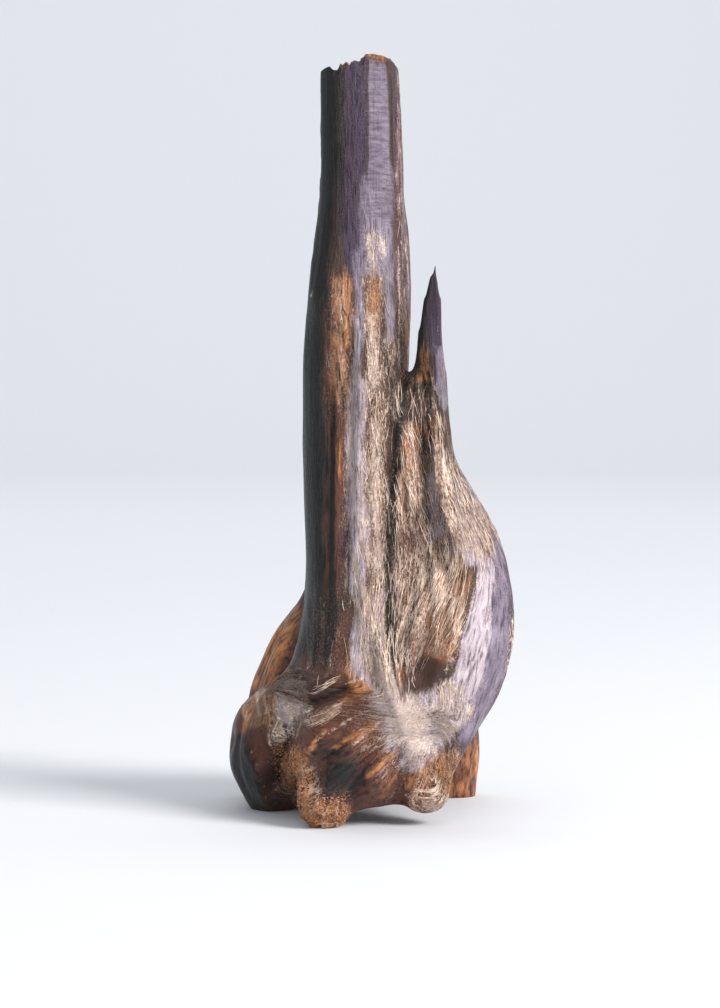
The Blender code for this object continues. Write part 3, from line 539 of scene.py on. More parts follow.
# Strokes: the finish, its width, its strength and the points of its line.
STROKES = {"front": (
    ("cream", 1, 0.52, ((-1.2, 116), (-0.6, 112.6), (-0.2, 108))),
    ("cream", 1, 0.5, ((1.6, 116), (2, 112), (2.2, 109))),
    ("cream", 1.4, 0.46, ((-0.6, 102), (0.2, 93), (0.6, 82))),
    ("cream", 1.5, 0.52, ((0.6, 84), (0.4, 66), (0.8, 44))),
    ("cream", 0.6, 0.5, ((15.6, 34), (14.4, 32), (13.6, 30))),
    ("cream", 0.9, 0.3, ((20.6, 53), (19.4, 46), (18.2, 40), (16.2, 34), (14.2, 30), (13.4, 26))),
    ("cream", 1.2, 0.4, ((-14.2, 20.2), (-10, 21.8), (-5, 24))),
    ("cream", 0.4, 0.44, ((-13, 15.4), (-9.4, 18.6), (-4, 21.6), (1, 24))),
    ("amber", 0.8, 0.85, ((-10.6, 12.8), (-5, 17.6), (2.6, 21.6))),
    ("cream", 0.5, 0.42, ((-5.6, 15.4), (-1, 19), (3.6, 22.6))),
    ("amber", 0.7, 0.8, ((-2.6, 9), (2.4, 13.4), (7.4, 17.4))),
    ("cream", 0.4, 0.45, ((-6.8, 27), (-2.4, 28.6), (2, 29.4))),
    ("cream", 0.8, 0.24, ((-12, 25.6), (-8.6, 27.6), (-5.6, 29))),
    ("cream", 1.2, 0.9, ((-26, 25.6), (-23, 28), (-20, 28.8), (-16, 30))),
    ("cream", 0.5, 0.6, ((-23.6, 27.4), (-23.4, 23), (-22, 18.6))),
    ("cream", 0.4, 0.6, ((-21.8, 28), (-21.6, 24), (-20.6, 19.4))),
    ("cream", 1.2, 0.66, ((9, 4.4), (12, 3.8), (14.6, 5), (15.2, 7))),
    ("cream", 0.25, 0.32, ((-25.6, 15.6), (-23, 11), (-21.4, 5), (-20.8, 1))),
    ("soot", 0.34, 0.75, ((3.6, 150), (3.8, 132), (4.3, 112))),
    ("soot", 0.16, 0.6, ((-0.9, 150), (-0.9, 132), (-0.8, 112))),
    # painted highlights along the ridges of the stem and the splinter
    ("cream", 0.25, 0.4, ((5, 116), (5.2, 100), (5, 86))),
    ("cream", 0.25, 0.28, ((12.6, 106), (12.4, 92), (12.7, 78), (12.6, 64))),
    ("cream", 0.22, 0.7, ((-11.6, 104.2), (-12, 103.2), (-12.3, 102.2))),
    ("fleck", 1.2, 0.75, ((27, 56), (28, 42), (26.6, 28), (21.6, 16), (15.6, 7))),
    ("amber", 0.5, 0.8, ((6.4, 99.6), (6.6, 96), (6.5, 92.4))),
    ("amber", 0.9, 0.6, ((-6.9, 78), (-6.6, 70), (-6.8, 62))),
    ("amber", 0.6, 0.85, ((5, 33), (5.2, 29.4), (6.2, 25.6), (9, 25.4))),
    ("amber", 0.7, 0.85, ((-8.4, 21), (-11, 17), (-14.8, 10.4))),
    ("amber", 1.2, 0.6, ((-2, 149.4), (-1.2, 149.6), (0.4, 150), (3, 150))),
    ("soot", 0.6, 0.8, ((2.4, 92), (3.6, 86), (4, 80))),
    ("soot", 0.9, 0.85, ((7.2, 95), (6.4, 86), (4.8, 76), (3.8, 62), (3, 50), (2.8, 41), (4, 34),
        (6, 30))),
    ("soot", 1.4, 0.5, ((-9.4, 98), (-6.8, 96.4), (-4.6, 93))),
    ("soot", 0.7, 0.8, ((-7.4, 92), (-6.2, 86), (-5, 78))),
    # these three dark strokes lie in grooves and folds: painted shade in the creases
    ("soot", 0.8, 0.8, ((9.6, 80), (9.8, 70), (10.8, 60), (13.4, 51))),
    ("soot", 0.7, 0.8, BASE_VALLEY),
    ("soot", 0.9, 0.8, LEFT_FOLD),
    ("soot", 0.9, 0.6, ((19.4, 17.6), (16.4, 15.6), (13.6, 16))),
    ("soot", 1, 0.6, ((14.4, 10), (12.6, 7.4))),
), "behind": (
    ("amber", 1.2, 0.9, ((24, 16), (22.4, 8), (22, -2))),
)}
FINISHES = (
    "fibrous", "soot", "violet", "rust", "bloom", "frost", "fleck", "cream", "amber", "crumb",
    "ripple", "pocket",
)
WANDER = 0.8  # how far the edge of a patch strays
STROKE_WANDER = 0.3
FINE_STRAY = 0.6  # part of the finer straying
STRAIGHT = (108.0, 116.0)  # above these heights the edges run straighter
STEADY = 0.6  # by this much
# Finishes on the sides that turn away from the front: a field of noise and its sign, the values
# between which it brings out the finish, the finish's least strength and what is added to it.
AROUND = {
    "fleck": ("tears", 1, -0.1, 0.6, 0.12, 0.46),
    "bloom": ("veins", -1, 0.0, 0.6, 0.0, 0.66),
    "frost": ("veins", -1, 0.3, 0.8, 0.0, 0.34),
    "amber": ("clouds", 1, 0.0, 0.8, 0.0, 0.46),
    "rust": ("clouds", 1, -0.4, 0.3, 0.0, 0.75),
    "soot": ("clouds", -1, -0.1, 0.7, 0.0, 0.72),
    "violet": ("veins", 1, -0.1, 0.4, 0.0, 0.8),
    "fibrous": ("tears", 1, 0.0, 0.6, 0.0, 0.7),
}
# Patterns in the wood's colours: cells per millimetre across and along the fibres, how many
# finer layers they have, and where each begins.
PATTERNS = {
    "fine": (2.6, 0.30, 4.0, 1.7),
    "tone": (1.5, 0.22, 4.0, 13.9),
    "band": (0.55, 0.05, 5.0, 9.3),
    "clump": (0.60, 0.12, 5.0, 3.3),
    "drift": (0.40, 0.10, 5.0, 21.7),
    "ripple": (0.30, 1.6, 2.0, 31.0),
}
# Fine hairs in the colours: how far they are turned in degrees, cells per millimetre across and
# along the fibres, width, and where the noise begins.
HAIRS = (
    (5, 1.9, 0.11, 0.12, 2.2),
    (-9, 2.4, 0.22, 0.11, 6.4),
    (15, 2.8, 0.50, 0.09, 8.8),
)
HAIR_DETAIL = 1.5
NOISE_ROUGHNESS = 0.6
NOISE_SPAN = (0.28, 0.72)  # nearly all of the noise lies between these values
# Specks in the colours: how many there are per millimetre, and how many finer layers they have.
SPECKS = {
    "speck": (2.4, 3.0),
    "cloud": (0.25, 5.0),
    # the painted glints
    "painted_glint": (2.6, 1.0),
    "strand": (1.1, 2.0),
}
WOVEN_BROAD = 0.55  # shares of a woven pattern
WOVEN_FINE = 0.4
WOVEN_SPECK = 0.2
WOVEN_SPAN = (0.25, 0.9)
# How strongly a pattern shows in each finish.
CONTRAST = {
    "violet": 1.2,
    "rust": 1.2,
    "amber": 1.5,
    "soot": 1.0,
    "bloom": 1.2,
    "frost": 1.6,
    "fleck": 2.0,
    "cream": 1.2,
    "pocket": 0.5,
}
# Smooth steps: the values between which each one runs, and what it gives at both ends.
STEPS = {
    "glow": (0.45, 1.5, 0.0, 1.0),
    "dark": (0.05, 0.65, 0.30, 1.15),
    "clear": (0.0, 1.0, 1.0, 0.3),
    "felt": (0.12, 0.50, 0.0, 1.0),
    "painted_glint": (0.62, 0.90, 0.0, 1.0),
    "cream": (0.0, 0.3, 0.0, 1.0),
    "raised": (0.0, 1.0, 0.15, 1.1),
    "gritty": (0.0, 1.0, 0.35, 1.5),
    "matt": (0.0, 1.0, 0.34, 0.60),
    "strand": (0.1, 1.35, 0.0, 1.0),
}
CLOUD_SHARE = 0.35  # share of the clouds in the lightness of the painted sheen and of the pale wood under a painted sheen
RIPPLE_CALM = 0.72  # their lightness between the ripples
RIPPLE_SHADE = 0.65  # how much darker the painted sheen is on the ripples: painted shade of the ripple marks
RIPPLE_LEVEL = 0.7  # how far the ripples level out the dark streaks,
RIPPLE_DARK = 0.9  # and to which darkness
RIPPLE_HEIGHT = 1.2
GROOVE_HEIGHT = 0.6
AMBER_TINT = 0.55  # how strongly full amber tints the pale fibres over it
HAIR_LEAST = 0.4  # what a hair keeps where there is no speck
GLINT_FLECK = 0.6  # painted glints among the pale fibres, beside those among the crumbs
GLINT_STRENGTH = 0.8
SPECK_MATT = 0.1  # how much duller the specks are
WOOD_GLOSS = 0.32
STRAND_MOTTLE = 0.8  # how strongly specks colour a strand
STRAND_ROUGHNESS = 0.55
STRAND_GLOSS = 0.38
SEEN_FRONT = (-0.1, 0.25)  # the front's finishes run round the limbs to here
SEEN_SIDE = (0.4, 0.8)
DEEP = (2.0, 6.0)  # what is seen behind the stem begins between these depths

# Strands and grains
FACE_CELL = 0.5
FACE_SLOPE = 0.15  # least slope of the skin towards the front that is seen from there
FACE_FILLS = 4  # rounds in which gaps between the points are filled
STRAND_SIDES = 4
STRAND_OFF = 0.3  # height of a strand over the skin, as a share of its thickness
STRAND_FLAT = 0.8
STRAND_TAPER = 2.5  # a higher power makes blunter ends
JUMP = 1.1  # a strand may go this much deeper from one of its points to the next
TONE_SIZE = 1.6  # strands this close are alike
TONE_STRETCH = (1.0, 0.4, 1.0)
TONE_RANGE = 0.6
TONE_MIDDLE = 0.5
TONE_SPREAD = 0.3  # how far a strand's tone differs from its neighbours'
FIBRE_FACING = (0.4, 0.7)
FIBRE_BEGINS = (27.0, 36.0)  # no loose fibres below these heights
FIBRE_THINS = (66.0, 84.0)  # and fewer above these
FIBRE_FEWER = 0.75
FIBRE_FALL = (1.2, 6.0)  # height from a fibre's one end to its other
FIBRE_THICK = (0.6, 1.3)
FIBRE_LEAN = (0.05, 0.16)  # mean and spread
FIBRE_WAVE = 0.12
FIBRE_TURN = 4.0  # radians that the wave goes through from end to end
FIBRE_LIFT = 0.25  # how far the ends stand off the skin at most
BUNDLE_THICK = (0.5, 1.4)
BUNDLE_BEGINS = (0.0, 0.5)  # shares of the two lines between which a strand begins
BUNDLE_ENDS = (0.6, 1.0)
BUNDLE_TURN = 5.0
BUNDLE_LIFT = 0.1
GRAIN_CLEAR = 0.8  # no grains below this height
GRAIN_SIZES = (0.4, 1.2)
GRAIN_SQUASH = (0.7, 1.3)
GRAIN_JAG = 0.25
GRAIN_OFF = 0.1
GRAIN_RINGS = 5  # a grain has only one in so many of a lobe's rings
GRAIN_SIDES = 9  # and sides
END_HALF = (7.2, 6.6)
END_SPREAD = (0.1, 0.92)  # shares of the torn top's area between which the ends stand
END_SUNK = 0.9
END_LEAN = 0.12
END_STEPS = 6
END_WIDTH = (0.25, 0.6)
END_FLAT = 0.7
END_BLUNT = 1.02
END_TONES = (0.0, 0.6)
# Bundles of strands combed over the skin: how many there are, and the two lines between which
# they lie, each as across and height seen from the front.
BUNDLES = (
    (130, ((7.6, 4), (10.6, 3.4), (13.2, 4.2), (14.4, 7)), ((7, 8), (9.8, 7.4), (12, 8), (13, 10.6))),
    (80, ((-14.2, 18.8), (-11.2, 19.6), (-8.4, 21.2), (-4.6, 24.4)),
        ((-13.6, 21.4), (-10.6, 22.8), (-8, 24), (-4.8, 25.4))),
    (12, ((-13.2, 24.8), (-10.8, 25.8), (-8.2, 27.2), (-5.8, 28.6)),
        ((-12.4, 26.6), (-10.2, 27.4), (-8, 28.6), (-5.8, 29.8))),
    (60, ((15.6, 52), (14.4, 45), (12, 39), (9, 34)),
        ((18.6, 50), (17.6, 43), (15, 37.6), (12.4, 34.6))),
    (40, ((12, 84), (12.2, 74), (12, 64), (11, 55)), ((13, 84), (13.4, 74), (13.8, 64), (13.6, 55))),
)

# The stage, in metres
FOCUS = (0.0, 0.0, 0.07)  # what the lights on the piece are aimed at
# Lights: where each stands, what it faces, its size and its tint.
LIGHTS = (
    ("key", (0.85, -0.62, 0.72), FOCUS, 0.5, (1.0, 0.97, 0.98)),
    ("fill", (-0.2, -1.0, 0.9), FOCUS, 0.8, (0.9, 0.94, 1.0)),
    ("wall light", (0.0, 1.2, 2.6), (0.0, 3.4, 0.6), 2.5, (0.96, 0.98, 1.0)),
)
SKY_TINT = (0.93, 0.96, 1.0, 1.0)
FLOOR_HALF = 24.0
FLOOR_NEAR = -2.0
FLOOR_POINTS = 12
BEND = 1.4  # radius of the bend between the floor and the wall
BEND_BEGINS = 2.2
BEND_STEPS = 16
WALL_TOP = 5.0
FLOOR_ROUGHNESS = 0.8
CAMERA_PLACE = (-0.0019, -0.5998, 0.0865)
CAMERA_DOWN = 2.37  # degrees below level
CAMERA_SENSOR = 36.0  # millimetres
CAMERA_REACH = 50.0


def length(name, description, default):
    """A size. Its default is given in the tables' millimetres."""
    return bpy.props.FloatProperty(
        name=name, description=description, default=default * MM, min=0.0, precision=5, unit="LENGTH"
    )


def colour(name, description, default):
    """A colour."""
    return bpy.props.FloatVectorProperty(
        name=name, description=description, default=default, min=0.0, max=1.0, subtype="COLOR"
    )


def amount(name, description, default, least=1):
    """A whole number of things."""
    return bpy.props.IntProperty(name=name, description=description, default=default, min=least)


def power(name, description, default):
    """The power of a light."""
    return bpy.props.FloatProperty(name=name, description=description, default=default, subtype="POWER")


class WoodSettings(bpy.types.PropertyGroup):
    """Sizes and colours of the wood."""

    cell: length("Fusing cell", "Size of the cells on which the limbs grow together", 1.1)
    triangles: amount("Triangles", "Triangles left on the finished skin", 196000, least=1000)
    grain_rise: length("Grain rise", "Height of the long grain on smooth wood", 0.05)
    torn_rise: length("Torn fibre rise", "Height of the ridges in the torn wood", 0.62)
    torn_depth: length("Torn depth", "How deep the torn wood lies below the smooth skin", 0.60)
    crumb_rise: length("Crumb rise", "Height of the crumbly resin", 0.34)
    bump: length("Finest relief", "Height of the relief that is only in the finish", 0.20)
    brown: colour("Brown wood", "Plain wood between the resin", (0.075, 0.042, 0.031))
    violet: colour("Violet wood", "Wood soaked with violet resin", (0.062, 0.039, 0.062))
    rust: colour("Rust wood", "Reddish wood", (0.120, 0.044, 0.026))
    # Black resin; the same colour is also painted as shade on the left side and in creases.
    soot: colour("Black resin", "Solid resin", (0.013, 0.012, 0.012))
    # Painted sheen: the lavender reflection of the lights on polished resin, painted as colour.
    sheen_low: colour("Bloom, thin", "Thin lavender bloom on polished resin", (0.13, 0.095, 0.135))
    sheen_high: colour("Bloom, thick", "Thick lavender bloom", (0.38, 0.325, 0.39))
    # Pale wood under a painted sheen of the lights.
    pale_wood_sheen_low: colour("Frost, thin", "Thin pale frost of resin", (0.22, 0.165, 0.19))
    pale_wood_sheen_high: colour("Frost, thick", "Thick pale frost of resin", (0.73, 0.62, 0.65))
    amber_low: colour("Amber, deep", "Deep red amber resin", (0.13, 0.036, 0.014))
    amber_high: colour("Amber, bright", "Bright orange amber resin", (0.58, 0.25, 0.095))
    fibre_low: colour("Fibre, brown", "Darker fibre", (0.24, 0.125, 0.075))
    fibre_high: colour("Fibre, pale", "Paler fibre", (0.97, 0.78, 0.63))
    # Bare cream wood, also painted as highlights on the knot and on ridges.
    cream: colour("Cream wood", "Bare wood on the knot", (0.95, 0.75, 0.65))
    pocket: colour("Pocket", "Smooth wood in the pocket", (0.085, 0.042, 0.030))


class FibreSettings(bpy.types.PropertyGroup):
    """Loose fibres."""

    count: amount("Fibres", "Loose fibres", 2000)
    thickness: length("Fibre thickness", "Thickness of a loose fibre", 0.10)


class BundleSettings(bpy.types.PropertyGroup):
    """Combed bundles of strands."""

    thickness: length("Strand thickness", "Thickness of a combed strand", 0.12)
    stray: length("Stray", "How far a strand strays from its bundle", 0.25)


class GrainSettings(bpy.types.PropertyGroup):
    """Crumbs of resin."""

    count: amount("Grains", "Resin grains", 1500)
    size: length("Grain size", "Half the size of a resin grain", 0.13)


class TopSettings(bpy.types.PropertyGroup):
    """Broken fibre ends on the torn top."""

    count: amount("Ends", "Broken fibre ends", 150)
    height: length("End height", "Greatest height of a broken end", 0.5)


class StageSettings(bpy.types.PropertyGroup):
    """Floor, light and camera."""

    floor: colour("Floor", "Colour of the floor and the wall behind", (0.74, 0.75, 0.77))
    key_power: power("Key light", "Power of the large soft light", 19.0)
    fill_power: power("Fill light", "Power of the weak front light", 1.7)
    wall_power: power("Wall light", "Power of the light on the wall", 50.0)
    sky: bpy.props.FloatProperty(
        name="Sky", description="Strength of the light from all round", default=0.5, min=0.0
    )
    lens: bpy.props.FloatProperty(
        name="Lens", description="Focal length", default=107.0, min=1.0, unit="CAMERA"
    )


# Surfaces


def read_table(table, heights):
    """Reads a table at the given heights, along a smooth cubic curve through its rows."""
    rows = np.array(sorted(table), float)
    level, values = rows[:, 0], rows[:, 1:]
    heights = np.clip(heights, level[0], level[-1])
    slope = np.gradient(values, level, axis=0)
    low = np.clip(np.searchsorted(level, heights) - 1, 0, len(level) - 2)
    span = (level[low + 1] - level[low])[:, None]
    t = (heights - level[low])[:, None] / span
    start = (2 * t**3 - 3 * t**2 + 1) * values[low] + (t**3 - 2 * t**2 + t) * span * slope[low]
    end = (3 * t**2 - 2 * t**3) * values[low + 1] + (t**3 - t**2) * span * slope[low + 1]
    return start + end


def limb(table, faces=PLAIN_FACES):
    """Points of an upright limb on a grid of height and angle. A ray at angle a from the middle
    of a section reaches half the size times (sum of (cos(a - bearing) / distance)^n)^(-1/n)
    over the flat faces, which rounds off the corners between them."""
    level = np.array([row[0] for row in table])
    count = int((level.max() - level.min()) / SECTION_STEP) + 2
    heights = np.linspace(level.min(), level.max(), count)
    left, right, front, back = read_table(table, heights).T[:, :, None]
    angle = np.linspace(0, 2 * math.pi, SECTION_SIDES, endpoint=False)
    meets = [np.maximum(np.cos(angle - math.radians(at)), 0.0) / far for at, far in faces]
    reach = sum(meet**FACE_SHARPNESS for meet in meets) ** (-1 / FACE_SHARPNESS)
    x = (left + right) / 2 + (right - left) / 2 * reach * np.cos(angle)
    y = (front + back) / 2 + (back - front) / 2 * reach * np.sin(angle)
    z = np.broadcast_to(heights[:, None], x.shape)
    rings = np.stack([x, y, z], axis=-1)
    ends = np.repeat(rings[[0, -1]].mean(axis=1, keepdims=True), SECTION_SIDES, axis=1)
    return np.concatenate([ends[:1], rings, ends[1:]])


def lobe(centre, half, tilt=(0, 0, 0)):
    """Points of an ellipsoid on a grid of two angles, from its lowest point to its highest."""
    rise = np.linspace(-math.pi / 2, math.pi / 2, LOBE_RINGS)[:, None]
    angle = np.linspace(0, 2 * math.pi, SECTION_SIDES, endpoint=False)
    ball = np.stack(
        [np.cos(rise) * np.cos(angle), np.cos(rise) * np.sin(angle), np.sin(rise) + 0 * angle],
        axis=-1,
    )
    turn = np.array(Euler([math.radians(degrees) for degrees in tilt]).to_matrix())
    return (ball * half) @ turn.T + centre


def quads_of(shape, closed=True):
    """Quads of a grid of points whose columns go all the way round, or end if it isn't closed."""
    numbers = np.arange(shape[0] * shape[1]).reshape(shape[:2])
    ahead = np.roll(numbers, -1, axis=1)
    quads = np.stack([numbers[:-1], ahead[:-1], ahead[1:], numbers[1:]], axis=-1)
    return quads[:, :shape[1] if closed else -1].reshape(-1, 4)


def gathered(grids):
    """Puts several grids into one list of points and one of quads."""
    points, quads, count = [], [], 0
    for grid in grids:
        points.append(grid.reshape(-1, 3))
        quads.append(quads_of(grid.shape) + count)
        count += len(points[-1])
    return np.concatenate(points), np.concatenate(quads)


def mesh_from(name, points, *faces):
    """Makes a mesh of points and arrays of faces."""
    mesh = bpy.data.meshes.new(name)
    mesh.from_pydata(points.tolist(), [], [face for array in faces for face in array.tolist()])
    return mesh


def read(elements, name, kind=float, width=3):
    """Reads one value, of the given width, of every element of a mesh."""
    values = np.empty(len(elements) * width, kind)
    elements.foreach_get(name, values)
    return values.reshape(-1, width)


def points_of(mesh):
    """Points of a mesh."""
    return read(mesh.vertices, "co")


def normals_of(mesh):
    """Directions out of the skin at the points of a mesh."""
    return read(mesh.vertex_normals, "vector")


def quads_from(mesh):
    """Corners of a mesh that has only quads."""
    return read(mesh.loops, "vertex_index", np.int32, 1).reshape(-1, 4)


def put_points(mesh, points):
    """Moves the points of a mesh."""
    mesh.vertices.foreach_set("co", points.ravel())
    mesh.update()


def modified(mesh, *modifiers):
    """Returns the mesh after the given modifiers: each is a kind and its settings."""
    carrier = bpy.data.objects.new("carrier", mesh)
    bpy.context.scene.collection.objects.link(carrier)
    for kind, settings in modifiers:
        modifier = carrier.modifiers.new(kind, kind)
        for key, value in settings.items():
            setattr(modifier, key, value)
    graph = bpy.context.evaluated_depsgraph_get()
    result = bpy.data.meshes.new_from_object(carrier.evaluated_get(graph), depsgraph=graph)
    bpy.data.objects.remove(carrier)
    bpy.data.meshes.remove(mesh)
    return result


def outer_skin(mesh):
    """Leaves out the closed bubbles inside the wood: each point takes the lowest number among
    its neighbours until every shell has one number, and the largest shell is kept."""
    points, quads = points_of(mesh), quads_from(mesh)
    shell = np.arange(len(points))
    settled = False
    while not settled:
        lowest = shell.copy()
        np.minimum.at(lowest, quads.ravel(), np.repeat(shell[quads].min(axis=1), 4))
        lowest = lowest[lowest]
        settled = bool((lowest == shell).all())
        shell = lowest
    kept = shell == np.bincount(shell).argmax()
    number = np.cumsum(kept) - 1
    bpy.data.meshes.remove(mesh)
    return points[kept], number[quads[kept[quads[:, 0]]]]


def rows_of(table):
    """Rows of a table that is split by view, each with its view in front."""
    return [(view, *row) for view, rows in table.items() for row in rows]


def ramp(value, start, end):
    """Runs smoothly from 0 at start to 1 at end."""
    t = np.clip((value - start) / (end - start), 0.0, 1.0)
    return t * t * (3 - 2 * t)


def softened(points, quads):
    """Rounds the joins between the limbs: each point moves towards the mean of its neighbours,
    again and again on the base and hardly at all on the thin upper parts."""
    pairs = np.concatenate([quads[:, [i, (i + 1) % 4]] for i in range(4)])
    ends = np.concatenate([pairs, pairs[:, ::-1]])
    ends = np.unique(ends, axis=0)
    neighbours = np.bincount(ends[:, 0], minlength=len(points))[:, None]
    move = BASE_SHARE - FINE_SHARE * ramp(points[:, 2:3], *FINE_HEIGHT)
    for _ in range(SOFTEN_ROUNDS):
        total = [np.bincount(ends[:, 0], points[ends[:, 1], axis], len(points)) for axis in range(3)]
        points = points + move * (np.stack(total, axis=-1) / neighbours - points)
    return points


def from_line(points, line):
    """Distance of flat points from a line, and how far along it the nearest place is, 0 to 1."""
    line = np.array(line, float)
    steps = np.diff(line, axis=0)
    run = np.concatenate([[0.0], np.cumsum(np.linalg.norm(steps, axis=1))])
    nearest, fraction = np.full(len(points), np.inf), np.zeros(len(points))
    for start, step, before, after in zip(line[:-1], steps, run[:-1], run[1:]):
        along = np.clip((points - start) @ step / (step @ step), 0.0, 1.0)
        away = np.linalg.norm(points - start - along[:, None] * step, axis=1)
        closer = away < nearest
        nearest = np.where(closer, away, nearest)
        fraction = np.where(closer, (before + along * (after - before)) / run[-1], fraction)
    return nearest, fraction


def nearness(points, line, width):
    """1 on the line, exp(-(distance / width)^2) beside it, and fading out towards its ends."""
    away, fraction = from_line(points, line)
    fade = ramp(fraction, 0.0, FADE) * (1 - ramp(fraction, 1 - FADE, 1.0))
    return fade * np.exp(-((away / width) ** 2))


def within(points, outline, edge):
    """1 inside a closed outline and 0 outside it, with a soft edge of the given width."""
    closed = np.array(outline + outline[:1], float)
    away, _ = from_line(points, closed)
    across, up = points.T
    crossings = np.zeros(len(points), int)
    for (x0, z0), (x1, z1) in zip(closed[:-1], closed[1:]):
        spans = (z0 > up) != (z1 > up)
        crossings += spans & (across < (x1 - x0) * (up - z0) / (z1 - z0 + (z1 == z0)) + x0)
    signed = np.where(crossings % 2 == 1, away, -away)
    return ramp(signed, -edge / 2, edge / 2)


def between_cells(values, low, part):
    """Values of a grid, blended between the corners of the cell that each place lies in: low
    numbers the cell's lowest corner and part is the place's share of the cell. Past its end the
    grid begins again."""
    total = np.zeros(part.shape[:-1])
    for corner in np.ndindex(*(2,) * values.ndim):
        weight = np.prod(np.where(corner, part, 1 - part), axis=-1)
        total += weight * values[tuple(np.moveaxis((low + corner) % values.shape, -1, 0))]
    return total


def lumps(points, size, seed):
    """Smooth noise from -1 to 1: random values on a lattice, blended across each cell."""
    lattice = np.random.default_rng(seed).uniform(-1.0, 1.0, (LATTICE, LATTICE, LATTICE))
    cell = points / size
    low = np.floor(cell).astype(int)
    part = cell - low
    return between_cells(lattice, low, part * part * (3 - 2 * part))


def turned(grain, degrees):
    """Grain coordinates turned in the skin, for fibres that lie across the others."""
    angle = math.radians(degrees)
    across, depth, along = grain.T
    return np.stack(
        [across * math.cos(angle) - along * math.sin(angle), depth,
         across * math.sin(angle) + along * math.cos(angle)], axis=-1)


def noise(places, name):
    """One of the fields of noise, over places in space or along the grain."""
    degrees, shrink, size, seed = NOISE[name]
    return lumps(turned(places, degrees) * (1.0, 1.0, shrink), size, seed)


def break_height(x, y):
    """Height of the torn top: the rim's line, chipped at the front and falling to the back,
    with bundles of fibre worn down to different heights, and rounded off all round."""
    rim = np.interp(x, *np.array(BREAK_RIM).T)
    chip = BREAK_CHIP * np.maximum(BREAK_FRONT - y, 0.0)
    fall = BREAK_FALL * np.maximum(y - BREAK_FRONT, 0.0)
    place = np.stack([x, y, np.zeros_like(x)], axis=-1)
    uneven = BREAK_ROUGH * noise(place, "break")
    uneven += BREAK_STEP * ramp(noise(place, "fibre ends"), -BREAK_EDGE, BREAK_EDGE)
    out = np.hypot((x - TOP_CENTRE[0]) / TOP_HALF[0], (y - TOP_CENTRE[1]) / TOP_HALF[1])
    inside = ramp(y, *BREAK_BEGINS)
    height = rim - chip - fall + (BREAK_CALM + (1 - BREAK_CALM) * inside) * uneven
    return height - BREAK_SUNK * inside - BREAK_ROUND * ramp(out, *BREAK_ROUND_FROM)


# Grain


def front_across(x, z):
    """Which fibre of the front passes through each place, named by where it lies halfway down:
    between two of the drawn fibres the name changes evenly."""
    lines = read_table(FIBRE_LINES, z)
    places = np.array(FIBRE_PLACES)
    part = np.clip((x[:, None] - lines[:, :-1]) / np.diff(lines, axis=1), 0.0, 1.0)
    beyond = np.minimum(x - lines[:, 0], 0.0) + np.maximum(x - lines[:, -1], 0.0)
    return places[0] + (part * np.diff(places)).sum(axis=1) + beyond


def fibre_across(named, z):
    """The other way round: how far across a named fibre lies at each height."""
    lines = read_table(FIBRE_LINES, z)
    places = np.array(FIBRE_PLACES)
    part = np.clip((named[:, None] - places[:-1]) / np.diff(places), 0.0, 1.0)
    beyond = np.minimum(named - places[0], 0.0) + np.maximum(named - places[-1], 0.0)
    return lines[:, 0] + (part * np.diff(lines, axis=1)).sum(axis=1) + beyond


def grain_at(points):
    """Coordinates that follow the fibres, in millimetres: across, into the depth and along. On
    the front and the back they run down the limbs. On the front base they spread from the knot,
    with the angle round it as the way across and the distance from it as the way along."""
    x, y, z = points.T
    stem_front, flank_front, back = read_table(DEPTH_LINES, z).T
    front = stem_front + (flank_front - stem_front) * ramp(x, *FLANK_BEGINS)
    left, right = read_table(BACK_LINES, z).T
    to_back = ramp(y, *BACK_BEGINS)
    across_back = BACK_SCALE * (2 * (x - left) / (right - left) - 1)
    across = front_across(x, z) * (1 - to_back) + across_back * to_back
    depth = DEPTH_SCALE * (y - front) / (back - front)
    down = np.stack([across, depth, z], axis=-1)

    over, up = x - KNOT[0], z - KNOT[1]
    bearing = np.mod(np.arctan2(up, over) - KNOT_CUT, 2 * math.pi)
    spread = np.stack([KNOT_SCALE * bearing, depth, np.hypot(over, up)], axis=-1)
    on_base = ramp(-y, *BASE_FRONT) * (1 - ramp(z + BASE_SLANT * x, *BASE_TOP))
    on_base *= 1 - ramp(x, *BASE_RIGHT)
    return down + (spread - down) * on_base[:, None]


def finishes_at(points, normals, grain, wanted=FINISHES):
    """How strongly each finish lies on each point, 0 to 1: the strongest of its patches and
    strokes there, and veins and clouds of noise on the sides that turn away from the front."""
    stray = np.stack([noise(grain, "stray " + way) + FINE_STRAY * noise(grain, "fine stray " + way)
                      for way in ("across", "up")], axis=-1)
    stray *= 1 - STEADY * ramp(points[:, 2:3], *STRAIGHT)
    flat, seen = {}, {}
    deep = ramp(points[:, 1], *DEEP)
    for view, (axis, facing) in VIEWS.items():
        flat[view] = points[:, (axis, 2)]
        seen[view] = ramp(normals @ facing, *(SEEN_FRONT if view == "front" else SEEN_SIDE))
    flat["behind"], seen["behind"] = flat["front"], seen["front"] * deep
    seen["front"] = seen["front"] * (1 - deep)
    strength = {finish: np.zeros(len(points)) for finish in wanted}
    for view, finish, full, edge, outline in rows_of(PATCHES):
        if finish in wanted:
            laid = full * seen[view] * within(flat[view] + WANDER * stray, outline, edge)
            strength[finish] = np.maximum(strength[finish], laid)
    for view, finish, width, full, line in rows_of(STROKES):
        if finish in wanted:
            laid = full * seen[view] * nearness(flat[view] + STROKE_WANDER * stray, line, width)
            strength[finish] = np.maximum(strength[finish], laid)
    turned_away = 1 - ramp(-normals[:, 1], *SEEN_FRONT)
    fields = {name: noise(grain, name) for name in ("veins", "clouds")}
    fields["tears"] = noise(points, "tears")
    for finish, (name, sign, begins, full, least, more) in AROUND.items():
        if finish in wanted:
            laid = least + more * ramp(sign * fields[name], begins, full)
            strength[finish] = np.maximum(strength[finish], turned_away * laid)
    return strength


# Wood


